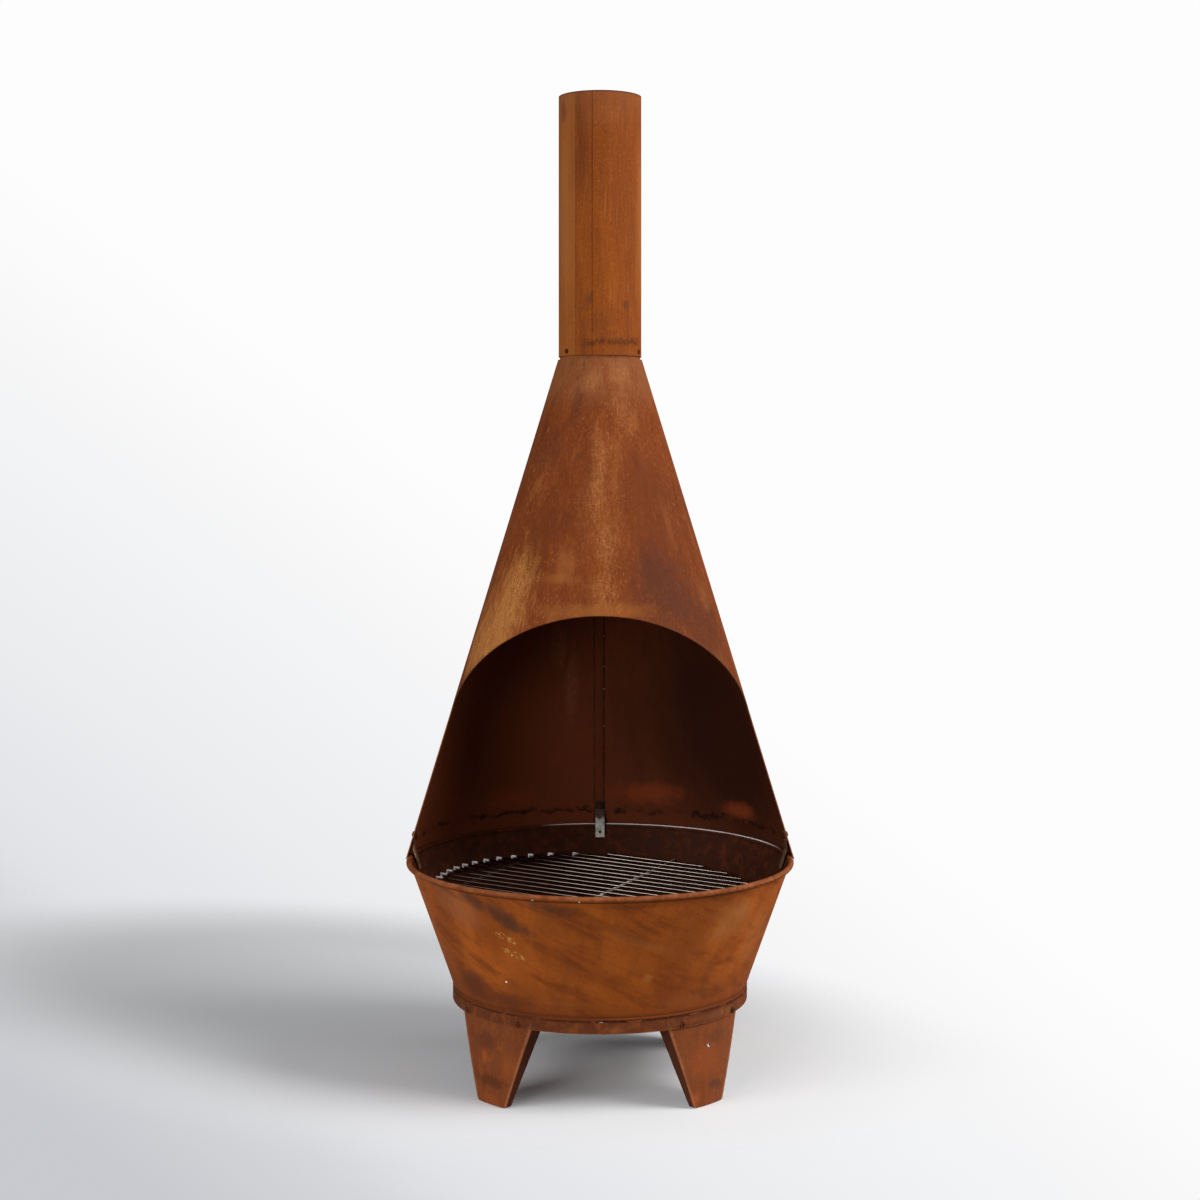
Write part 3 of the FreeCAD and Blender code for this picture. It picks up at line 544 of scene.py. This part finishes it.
def leg_folds(coat, patterns):
    """Mask of the folds down both sides of every leg: wear and painted highlight where the rounded
    folds catch light.
    """
    height, heading = coat.axes()[2], coat.heading()
    from_side = coat.calc("SUBTRACT", coat.calc("ABSOLUTE", heading), math.pi / 2)
    from_leg = coat.calc("SUBTRACT", coat.calc("ABSOLUTE", from_side), math.radians(LEG_FROM_SIDE))
    from_middle = coat.calc("MULTIPLY", coat.calc("ABSOLUTE", from_leg), LEG_RADIUS)
    spread = (LEG_TOP_HALF - LEG_FOOT_HALF) / LEG_HEIGHT
    half_width = coat.calc("MULTIPLY_ADD", height, spread, LEG_FOOT_HALF)
    from_edge = coat.calc("SUBTRACT", half_width, from_middle)
    return coat.both(coat.line(from_edge, 2 * MM, 3.2 * MM, 0.8 * MM),
                     coat.level(height, LEG_HEIGHT, LEG_HEIGHT - 12 * MM),
                     coat.level(patterns["mottle"], 0.3, 0.6, 0.25, 0.7))


def stand_rust(finish):
    coat = Coat("stand_rust_patina")
    colour, patterns = rust_layers(coat, finish, finish.stand, finish.bright, clouds=0.5,
                                   blotches=0.4, streak=0.22, grain=0.34)
    colour = add_marks(coat, colour, finish, "leg", STAND_MARKS, patterns)
    colour = coat.mix(leg_folds(coat, patterns), colour, finish.wear_and_highlight)
    ring = coat.both(coat.level(coat.axes()[2], BAND_LOW.z, BAND_LOW.z + 2 * MM, 0, 0.5),
                     coat.level(patterns["mottle"], 0.62, 0.42, 0.35, 1.0))
    colour = coat.mix(ring, colour, finish.pits_and_shade)
    # Painted shade: faces not turned outward, such as the flanges and the inside of the ring and
    # legs, are darker.
    inside = coat.level(coat.facing_out(), 0.75, 0.25, 0, 0.85)
    return surface(coat, coat.mix(inside, colour, finish.pits_and_shade), patterns)


def fastener_rust(finish):
    coat = Coat("rusty_fasteners")
    colour, patterns = rust_layers(coat, finish, finish.pits_and_shade, finish.stand, streak=0.1, grain=0.5)
    return surface(coat, colour, patterns, rough=(0.5, 0.8), depth=0.15)


def weld_rust(finish):
    coat = Coat("weld_scale")
    colour, patterns = rust_layers(coat, finish, finish.stand, finish.wear_and_highlight, streak=0.0, grain=0.6)
    return surface(coat, colour, patterns, rough=(0.45, 0.75), depth=0.3)


def tongue_zinc(finish):
    """Galvanised straps, tarnished under the hood, the side ones rusty."""
    coat = Coat("galvanised_tongue", metallic=0.75)
    across, _, height = coat.axes()
    spangle = coat.noise(0.004, 3.0, 0.7)
    stain = coat.noise(0.008, 4.0, 0.7, stretch=(1, 1, 2))
    colour = coat.mix(coat.level(spangle, 0.35, 0.68), finish.zinc, finish.spangle)
    uneven = coat.calc("MULTIPLY_ADD", stain, 30 * MM, height)
    colour = coat.mix(coat.level(uneven, 350 * MM, 362 * MM, 0, 0.95), colour, finish.tarnish)
    colour = coat.mix(coat.level(stain, 0.56, 0.72, 0, 0.6), colour, finish.deep)
    to_side = coat.calc("ABSOLUTE", across)
    colour = coat.mix(coat.level(to_side, 100 * MM, 200 * MM, 0, 0.75), colour, finish.wear_and_highlight)
    return coat.finish(colour, coat.level(spangle, 0.3, 0.7, 0.32, 0.5), spangle, 0.05)


def wire_steel(finish):
    """Bright wire, darkened on the left as painted shade, with painted highlights on the cut ends
    on the left.
    """
    coat = Coat("bright_wire", metallic=1.0)
    drawn = coat.noise(0.002, 2.0, 0.6, stretch=(6, 6, 1))
    stain = coat.noise(0.03, 4.0, 0.65, warp=0.4)
    colour = coat.mix(coat.level(drawn, 0.3, 0.7), finish.wire, finish.wire_light)
    colour = coat.mix(coat.level(stain, 0.55, 0.75, 0, 0.6), colour, finish.wire_stain)
    across = coat.axes()[0]
    flat = coat.vector("MULTIPLY", coat.place, (1.0, 1.0, 0.0))
    from_axis = coat.vector("LENGTH", flat, output=1)
    # Painted highlight: the cut ends on the left are bright and not metallic.
    ends = coat.both(coat.level(from_axis, WIRE_END_CIRCLE - 7 * MM, WIRE_END_CIRCLE - 3 * MM),
                     coat.level(across, 0.0, -60 * MM))
    # Painted shade: the wires on the left are darkened as if in the hood's shade.
    colour = coat.mix(coat.level(across, 30 * MM, -120 * MM, 0, 0.85), colour, finish.wire_shade)
    colour = coat.mix(ends, colour, finish.highlight_white)
    coat.links.new(coat.calc("SUBTRACT", 1.0, ends), coat.shader.inputs["Metallic"])
    return coat.finish(colour, coat.level(drawn, 0.3, 0.7, 0.10, 0.22), drawn, 0.03)


def cross_wire_steel(finish):
    """The crossing wires: paler than the bars as painted highlight, darkened on the left as painted
    shade.
    """
    coat = Coat("cross_wire", metallic=0.3, specular=0.5)
    drawn = coat.noise(0.004, 3.0, 0.6)
    colour = coat.mix(coat.level(drawn, 0.35, 0.6), finish.cross_wire, finish.cross_light)
    # Painted shade on the left.
    left_shade = coat.level(coat.axes()[0], 0.0, -60 * MM, 0, 0.93)
    colour = coat.mix(left_shade, colour, finish.char)
    return coat.finish(colour, coat.level(drawn, 0.3, 0.7, 0.22, 0.36), drawn, 0.05)


FINISHES = {
    "tube_rust": tube_rust, "hood_rust": hood_rust, "bowl_rust": bowl_rust,
    "stand_rust": stand_rust, "rusty_fasteners": fastener_rust, "weld_scale": weld_rust,
    "tongue_steel": tongue_zinc, "grate_steel": wire_steel, "cross_wire_steel": cross_wire_steel,
}


def coated(name):
    """The finish of that name, made the first time it is asked for."""
    key = "chiminea_" + name
    if key not in bpy.data.materials:
        FINISHES[name](bpy.context.scene.chiminea_finish).name = key
    return bpy.data.materials[key]


# ---------------------------------------------------------------- making pieces

def select_nothing():
    if bpy.context.object and bpy.context.object.mode != "OBJECT":
        bpy.ops.object.mode_set(mode="OBJECT")
    bpy.ops.object.select_all(action="DESELECT")


def stand_up(piece, heading, radius, height, slope=0.0):
    """Sets a flat primitive across a wall: its X goes through the wall, its Y up along it."""
    across = outward(heading) * math.cos(slope) + Vector((0, 0, math.sin(slope)))
    along = Vector((0, 0, 1)) * math.cos(slope) - outward(heading) * math.sin(slope)
    turn = Matrix((across, along, across.cross(along))).transposed()
    piece.rotation_euler = turn.to_euler()
    piece.location = outward(heading) * radius + Vector((0, 0, height))


def settle(piece):
    """Puts the piece's place into its mesh."""
    select_nothing()
    piece.select_set(True)
    bpy.context.view_layer.objects.active = piece
    bpy.ops.object.transform_apply(location=True, rotation=True, scale=True)


def spin_round(piece, sweep, steps, centre=(0, 0, 0)):
    """Sweeps the piece's one face about an upright axis into a closed body."""
    settle(piece)
    bpy.ops.object.mode_set(mode="EDIT")
    bpy.ops.mesh.select_all(action="SELECT")
    bpy.ops.mesh.spin(steps=steps, angle=math.radians(sweep), center=centre, axis=(0, 0, 1))
    bpy.ops.mesh.select_all(action="SELECT")
    bpy.ops.mesh.remove_doubles(threshold=0.01 * MM)
    bpy.ops.mesh.normals_make_consistent(inside=False)
    bpy.ops.object.mode_set(mode="OBJECT")


def apply_modifier(piece, kind, **settings):
    select_nothing()
    piece.select_set(True)
    bpy.context.view_layer.objects.active = piece
    modifier = piece.modifiers.new(kind.title(), kind)
    for key, value in settings.items():
        setattr(modifier, key, value)
    bpy.ops.object.modifier_apply(modifier=modifier.name)


def join(pieces, name):
    select_nothing()
    for piece in pieces:
        piece.select_set(True)
    bpy.context.view_layer.objects.active = pieces[0]
    bpy.ops.object.join()
    joined = bpy.context.object
    joined.name = joined.data.name = name
    return joined


def finish_piece(piece, name, body, coat, smooth=35.0):
    piece.name = piece.data.name = name
    select_nothing()
    piece.select_set(True)
    bpy.context.view_layer.objects.active = piece
    bpy.ops.object.shade_smooth_by_angle(angle=math.radians(smooth))
    piece.data.materials.clear()
    piece.data.materials.append(coated(coat))
    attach(piece, body)
    return piece


# How deep a lap's end sinks into the wall, and how finely a weld bead is made.
SUNK = 0.1 * MM
BEAD_SIDES, BEAD_STEP, LEAST_STEPS, MOST_STEPS = 8, 2.2 * MM, 3, 180


def lap_sheet(heading, foot, top, thickness, sweep, steps, proud):
    """The outer end of a rolled sheet: stands proud at its heading and sinks into the wall.

    foot and top are (wall radius, height) pairs. It is swept in steps by an angle in degrees.
    """
    slope = math.atan2(foot[0] - top[0], top[1] - foot[1])
    length = math.hypot(foot[0] - top[0], top[1] - foot[1])
    select_nothing()
    bpy.ops.mesh.primitive_plane_add(size=1)
    piece = bpy.context.object
    radius = (foot[0] + top[0]) / 2 + proud - thickness / 2 * math.cos(slope)
    piece.scale = (thickness, length, 1)
    stand_up(piece, heading, radius, (foot[1] + top[1]) / 2, slope)
    side = math.copysign(1, sweep)
    reach = (proud + SUNK) / math.sin(math.radians(abs(sweep)))
    centre = outward(heading - side * 90) * reach
    spin_round(piece, sweep, steps, centre)
    return piece


def bead(radius, height, heading, length, thick, lumps, seed):
    """A rounded bar lying round the ring, with lumps of that size."""
    select_nothing()
    bpy.ops.mesh.primitive_circle_add(vertices=BEAD_SIDES, radius=thick, fill_type="NGON")
    piece = bpy.context.object
    stand_up(piece, heading, radius, height)
    sweep = math.degrees(length / radius)
    steps = max(LEAST_STEPS, min(MOST_STEPS, round(length / BEAD_STEP)))
    spin_round(piece, sweep, steps)
    bpy.ops.object.mode_set(mode="EDIT")
    bpy.ops.mesh.select_all(action="SELECT")
    bpy.ops.transform.vertex_random(offset=lumps, uniform=1.0, normal=0.0, seed=seed)
    bpy.ops.object.mode_set(mode="OBJECT")
    apply_modifier(piece, "SUBSURF", levels=1, render_levels=1)
    return piece


# ---------------------------------------------------------------- settings a user may change

def colour_setting(name, description, value):
    return bpy.props.FloatVectorProperty(name=name, description=description, default=value,
                                         subtype="COLOR", size=3, min=0.0, max=1.0)


def length_setting(name, description, value):
    return bpy.props.FloatProperty(name=name, description=description, default=value,
                                   unit="LENGTH", subtype="DISTANCE", min=0.0)


def power_setting(name, description, value):
    return bpy.props.FloatProperty(name=name, description=description, default=value,
                                   subtype="POWER", min=0.0)


class ChimineaFinish(bpy.types.PropertyGroup):
    """Colours of the patina and the steel"""
    tube: colour_setting("Tube rust", "Main colour of the chimney tube", rgb(139, 70, 20))
    hood: colour_setting("Hood rust", "Main colour of the hood's outside", rgb(121, 58, 25))
    bowl: colour_setting("Bowl rust", "Main colour of the bowl's outside", rgb(166, 85, 28))
    stand: colour_setting("Stand rust", "Main colour of the ring and legs", rgb(117, 62, 34))
    deep: colour_setting("Deep rust", "Darker red-brown clouds", rgb(104, 49, 22))
    bright: colour_setting("Bright rust", "Lighter orange mottling", rgb(162, 88, 36))
    dust: colour_setting("Rust dust", "Pale scuffs and grains", rgb(180, 115, 66))
    # Dark pits, also painted shade at the bowl's hem, under its lip and on the stand's inward
    # faces.
    pits_and_shade: colour_setting("Pits", "Dark grains and pits", rgb(62, 31, 19))
    # Wear colour, also painted highlight on the hood's edges, the leg folds and the bowl's lip.
    wear_and_highlight: colour_setting("Worn edge", "Lighter worn edges and lips", rgb(150, 96, 66))
    ochre: colour_setting("Ochre runs", "Tan patches on the hood and bowl", rgb(160, 98, 50))
    plum: colour_setting("Plum blotches", "Purple-brown blotches", rgb(86, 46, 32))
    grey: colour_setting("Grey stains", "Grey-brown stains", rgb(76, 48, 36))
    scorch: colour_setting("Scorch", "Scorched, nearly black stains", rgb(62, 34, 22))
    flare: colour_setting("Fresh rust", "Fresh orange rust on the legs", rgb(158, 78, 36))
    straw: colour_setting("Scratches", "Straw-coloured scratches on the bowl", rgb(205, 160, 86))
    tan: colour_setting("Tan band", "Scuffed band at the top of the hood", rgb(143, 90, 56))
    # Char, also used as painted shade on the left of the cross wires.
    char: colour_setting("Char", "Blackened inside of the bowl", rgb(58, 28, 17))
    soot: colour_setting("Soot", "Sooty inside", rgb(104, 50, 27))
    ember: colour_setting("Ember rust", "Redder inside streaks", rgb(124, 54, 27))
    zinc: colour_setting("Zinc", "Galvanised tongues", rgb(150, 146, 140))
    wire: colour_setting("Grate wire", "Bright wire of the grate", rgb(104, 96, 88))
    sand: colour_setting("Sanded patches", "Pale scuffs low on the hood's left", rgb(196, 134, 72))
    # Painted shade inside the hood, on the right.
    interior_shade: colour_setting("Lampblack", "Darkest soot, inside on the right", rgb(30, 12, 7))
    # Bare steel, also used as painted light in the hole of the front right leg.
    bare_and_hole_light: colour_setting("Bare steel", "Bright nicks and burrs", (0.95, 0.93, 0.90))
    # Painted highlight on the back of the bowl's lip and on the wire ends on the left.
    highlight_white: colour_setting("Rubbed steel", "Rubbed lip and cut wire ends", (1.0, 0.98, 1.0))
    spangle: colour_setting("Spangle", "Lighter grains of the zinc", rgb(196, 190, 180))
    tarnish: colour_setting("Tarnish", "Upper part of the tongues", rgb(70, 50, 42))
    wire_light: colour_setting("Wire, light", "Lighter parts of the wire", rgb(130, 122, 114))
    wire_stain: colour_setting("Wire, stained", "Rusty parts of the wire", rgb(92, 66, 52))
    # Painted shade for the wires on the left.
    wire_shade: colour_setting("Wire, dull", "Wires on the left", rgb(52, 34, 27))
    # The cross wire colours are pale as painted highlight.
    cross_wire: colour_setting("Cross wire", "The crossing wires", rgb(146, 128, 116))
    cross_light: colour_setting("Cross wire, light", "Their lighter parts", rgb(236, 228, 220))


class ChimineaSeams(bpy.types.PropertyGroup):
    """Sizes of the sheet laps and welds"""
    sheet: length_setting("Lap sheet", "Thickness of the lapped sheet ends", 0.9 * MM)
    tube_heading: bpy.props.FloatProperty(
        name="Tube seam", description="Heading of the chimney tube's lap, from the front",
        default=math.radians(-35), subtype="ANGLE", unit="ROTATION")
    hood_heading: bpy.props.FloatProperty(
        name="Hood seam", description="Heading of the hood's lap, from the front",
        default=math.radians(182.4), subtype="ANGLE", unit="ROTATION")
    strap: length_setting("Strap width", "Width of the strap inside the hood's seam", 16 * MM)
    weld: length_setting("Weld size", "Half the thickness of a tack weld", 1.5 * MM)
    welds: bpy.props.IntProperty(name="Weld count", description="Tack welds round the ring",
                                 default=18, min=4, max=60)


class ChimineaStage(bpy.types.PropertyGroup):
    """Floor, lights and camera"""
    floor: colour_setting("Floor", "Pale floor", (0.85, 0.865, 0.885))
    floor_radius: length_setting("Floor radius", "Radius of the round floor", 2.2)
    key_power: power_setting("Key light", "Power of the key light", 140.0)
    front_power: power_setting("Front light", "Power of the low front light", 34.0)
    side_power: power_setting("Side lights", "Power of the left one; the right has less", 25.0)
    fill: bpy.props.FloatProperty(name="Fill", description="Brightness of the surrounding light",
                                  default=0.15, min=0.0)
    lens: bpy.props.FloatProperty(name="Lens", description="Focal length in millimetres",
                                  default=60.9, min=10.0)
    distance: length_setting("Camera distance", "From the camera to the middle axis", 3.122)
    eye: length_setting("Camera height", "Height of the camera", 0.9347)
    lower: bpy.props.FloatProperty(name="Frame shift", description="Upright shift of the frame",
                                   default=-0.1125)


# ---------------------------------------------------------------- operators

class CHIMINEA_OT_patina(bpy.types.Operator):
    """Give every sheet, fastener and wire of the frame its finish"""
    bl_idname = "chiminea.patina"
    bl_label = "Patina and steel"
    # The cross wires get their own, paler finish as painted highlight.
    own_finish = {"grate_cross_wires": "cross_wire_steel"}

    def execute(self, context):
        slots = {row["node"]: row["material_slot"] for row in frame["record"]["subparts"]}
        for name, node in frame["nodes"].items():
            for slot in node.material_slots:
                slot.material = coated(self.own_finish.get(name, slots[name]))
        return {"FINISHED"}


class CHIMINEA_OT_tube_lap(bpy.types.Operator):
    """Lap seam up the chimney tube"""
    bl_idname = "chiminea.tube_lap"
    bl_label = "Tube lap seam"

    def execute(self, context):
        seams = context.scene.chiminea_seams
        foot, top = (TUBE_RADIUS, TUBE_LOW.z + 0.3 * MM), (TUBE_RADIUS, TUBE_HIGH.z - 0.3 * MM)
        piece = lap_sheet(math.degrees(seams.tube_heading), foot, top, seams.sheet,
                          sweep=-24, steps=18, proud=seams.sheet * 0.75)
        finish_piece(piece, "tube_lap_seam", "hood", "tube_rust")
        return {"FINISHED"}


class CHIMINEA_OT_hood_lap(bpy.types.Operator):
    """Lap seam down the back of the hood, outside and inside"""
    bl_idname = "chiminea.hood_lap"
    bl_label = "Hood lap seam"
    strap_low, strap_high = 352 * MM, 1080 * MM
    strap_turn = -2.1

    def execute(self, context):
        seams = context.scene.chiminea_seams
        heading = math.degrees(seams.hood_heading)
        low, high = HOOD_LOW.z + 0.5 * MM, HOOD_HIGH.z - 0.5 * MM
        outer = lap_sheet(heading, (hood_radius(low), low), (hood_radius(high), high), seams.sheet,
                          sweep=8, steps=10, proud=seams.sheet * 0.8)
        finish_piece(outer, "hood_lap_outside", "hood", "hood_rust")
        strap = self.strap(seams, heading + self.strap_turn)
        finish_piece(strap, "hood_lap_inside", "hood", "hood_rust")
        return {"FINISHED"}

    def strap(self, seams, heading):
        middle = (self.strap_low + self.strap_high) / 2
        slope = math.atan(HOOD_TAPER)
        select_nothing()
        bpy.ops.mesh.primitive_cube_add(size=1)
        strap = bpy.context.object
        length = (self.strap_high - self.strap_low) / math.cos(slope)
        strap.scale = (seams.sheet * 1.6, length, seams.strap)
        stand_up(strap, heading, hood_radius(middle) - HOOD_SHEET - 0.35 * MM, middle, slope)
        settle(strap)
        apply_modifier(strap, "BEVEL", width=0.4 * MM, segments=2, limit_method="ANGLE")
        return strap


class CHIMINEA_OT_ring_welds(bpy.types.Operator):
    """Tack welds in the groove between the bowl's hem and the ring"""
    bl_idname = "chiminea.ring_welds"
    bl_label = "Ring tack welds"
    lengths = (5, 7, 9, 14, 22)
    weld_lumps, scale_lumps = 0.45 * MM, 0.12 * MM
    shadow_thick = 1.2 * MM

    def execute(self, context):
        seams = context.scene.chiminea_seams
        draw = random.Random(7)
        beads = []
        low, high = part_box("ring_tack_welds")
        radius, height = high.x + 0.9 * MM, (low.z + high.z) / 2 - 0.2 * MM
        for number in range(seams.welds):
            heading = 360 * (number + draw.uniform(-0.25, 0.25)) / seams.welds
            length = draw.choice(self.lengths) * MM
            thick = seams.weld * draw.uniform(0.85, 1.15)
            beads.append(bead(radius, height, heading, length, thick, self.weld_lumps, number + 1))
        # Painted shade: a dark bead laid in the groove under the bowl's hem stands in for its
        # shadow.
        scale = bead(high.x + 0.6 * MM, low.z + 0.4 * MM, 0, 2 * math.pi * high.x,
                     self.shadow_thick, self.scale_lumps, 0)
        finish_piece(scale, "ring_groove_shadow", "stand", "rusty_fasteners", 60)
        piece = join(beads, "ring_welds")
        finish_piece(piece, "ring_welds", "stand", "weld_scale", 60)
        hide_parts("ring_tack_welds")
        return {"FINISHED"}


class CHIMINEA_OT_stage(bpy.types.Operator):
    """Pale floor, soft lights and the camera"""
    bl_idname = "chiminea.stage"
    bl_label = "Floor, lights and camera"

    def execute(self, context):
        stage = context.scene.chiminea_stage
        self.lay_floor(stage)
        self.light(context, stage)
        self.aim_camera(context, stage)
        return {"FINISHED"}

    def lay_floor(self, stage):
        select_nothing()
        bpy.ops.mesh.primitive_circle_add(vertices=96, radius=stage.floor_radius, fill_type="NGON",
                                          location=(0, 0, -0.2 * MM))
        floor = bpy.context.object
        settle(floor)
        floor.name = "floor"
        coat = Coat("pale_floor", specular=0.2)
        grain = coat.noise(0.4, 2.0, 0.5)
        colour = coat.mix(coat.level(grain, 0.3, 0.7, 0, 0.02), stage.floor, (0.8, 0.8, 0.8))
        coat.links.new(colour, coat.shader.inputs["Base Color"])
        coat.shader.inputs["Roughness"].default_value = 0.9
        clear = coat.add("BsdfTransparent")
        shown = coat.spot(FLOOR_CENTRE, FLOOR_REACH, turn=(0, 0, FLOOR_TURN))
        mixed = coat.add("MixShader", {0: shown, 1: clear.outputs["BSDF"],
                                       2: coat.shader.outputs["BSDF"]})
        output = next(node for node in coat.nodes if node.type == "OUTPUT_MATERIAL")
        coat.links.new(mixed.outputs[0], output.inputs["Surface"])
        floor.data.materials.append(coat.material)

    def light(self, context, stage):
        world = bpy.data.worlds.new("studio")
        world.use_nodes = True
        tree = world.node_tree
        tree.nodes.clear()
        seen = tree.nodes.new("ShaderNodeBackground")
        around = tree.nodes.new("ShaderNodeBackground")
        seen.inputs["Strength"].default_value = 1.0
        self.shade_backdrop(tree, seen)
        around.inputs["Color"].default_value = (0.97, 0.985, 1.0, 1.0)
        around.inputs["Strength"].default_value = stage.fill
        rays = tree.nodes.new("ShaderNodeLightPath")
        both = tree.nodes.new("ShaderNodeMixShader")
        output = tree.nodes.new("ShaderNodeOutputWorld")
        tree.links.new(rays.outputs["Is Camera Ray"], both.inputs[0])
        tree.links.new(around.outputs[0], both.inputs[1])
        tree.links.new(seen.outputs[0], both.inputs[2])
        tree.links.new(both.outputs[0], output.inputs["Surface"])
        context.scene.world = world
        for name, power, share, size, place, aim, colour in LAMPS:
            self.softbox(name, getattr(stage, power) * share, size, Vector(place), Vector(aim),
                         colour)

    def shade_backdrop(self, tree, seen):
        """White all round, easing to pale grey low on the left."""
        places = tree.nodes.new("ShaderNodeTexCoord")
        slant = tree.nodes.new("ShaderNodeVectorMath")
        slant.operation = "DOT_PRODUCT"
        slant.inputs[1].default_value = BACKDROP_SLANT
        tree.links.new(places.outputs["Generated"], slant.inputs[0])
        ramp = tree.nodes.new("ShaderNodeValToRGB")
        tree.links.new(slant.outputs["Value"], ramp.inputs[0])
        stops = ramp.color_ramp.elements
        for index, (place, shade) in enumerate(BACKDROP):
            stop = stops[index] if index < 2 else stops.new(place)
            stop.position = place
            stop.color = (*shade, 1.0)
        tree.links.new(ramp.outputs["Color"], seen.inputs["Color"])

    def softbox(self, name, power, size, place, aim, colour):
        bpy.ops.object.light_add(type="AREA", location=place)
        lamp = bpy.context.object
        lamp.name = name
        lamp.data.size = size
        lamp.data.energy = power
        lamp.data.color = colour
        lamp.rotation_euler = (aim - place).to_track_quat("-Z", "Y").to_euler()

    def aim_camera(self, context, stage):
        bpy.ops.object.camera_add(location=(0, -stage.distance, stage.eye),
                                  rotation=(math.radians(90), 0, 0))
        camera = bpy.context.object
        camera.data.sensor_width = 36
        camera.data.lens = stage.lens
        camera.data.shift_y = stage.lower
        context.scene.camera = camera
        context.scene.view_settings.view_transform = "Standard"


STEPS = (CHIMINEA_OT_patina, CHIMINEA_OT_tube_lap, CHIMINEA_OT_hood_lap,
         CHIMINEA_OT_ring_welds, CHIMINEA_OT_stage)


class CHIMINEA_PT_panel(bpy.types.Panel):
    """Lists the making steps and their settings"""
    bl_idname = "CHIMINEA_PT_panel"
    bl_label = "Garden chiminea"
    bl_space_type = "VIEW_3D"
    bl_region_type = "UI"
    bl_category = "Chiminea"

    def draw(self, context):
        for step in STEPS:
            self.layout.operator(step.bl_idname)
        for group in (context.scene.chiminea_finish, context.scene.chiminea_seams,
                      context.scene.chiminea_stage):
            box = self.layout.box()
            for key in group.bl_rna.properties.keys():
                if key not in ("rna_type", "name"):
                    box.prop(group, key)


GROUPS = {"chiminea_finish": ChimineaFinish, "chiminea_seams": ChimineaSeams,
          "chiminea_stage": ChimineaStage}


def register():
    for item in (*GROUPS.values(), *STEPS, CHIMINEA_PT_panel):
        bpy.utils.register_class(item)
    for key, group in GROUPS.items():
        setattr(bpy.types.Scene, key, bpy.props.PointerProperty(type=group))


def unregister():
    for key in GROUPS:
        delattr(bpy.types.Scene, key)
    for item in (CHIMINEA_PT_panel, *reversed(STEPS), *reversed(GROUPS.values())):
        bpy.utils.unregister_class(item)


def main():
    register()
    for step in STEPS:
        group, name = step.bl_idname.split(".")
        getattr(getattr(bpy.ops, group), name)()


if __name__ == "__main__":
    main()
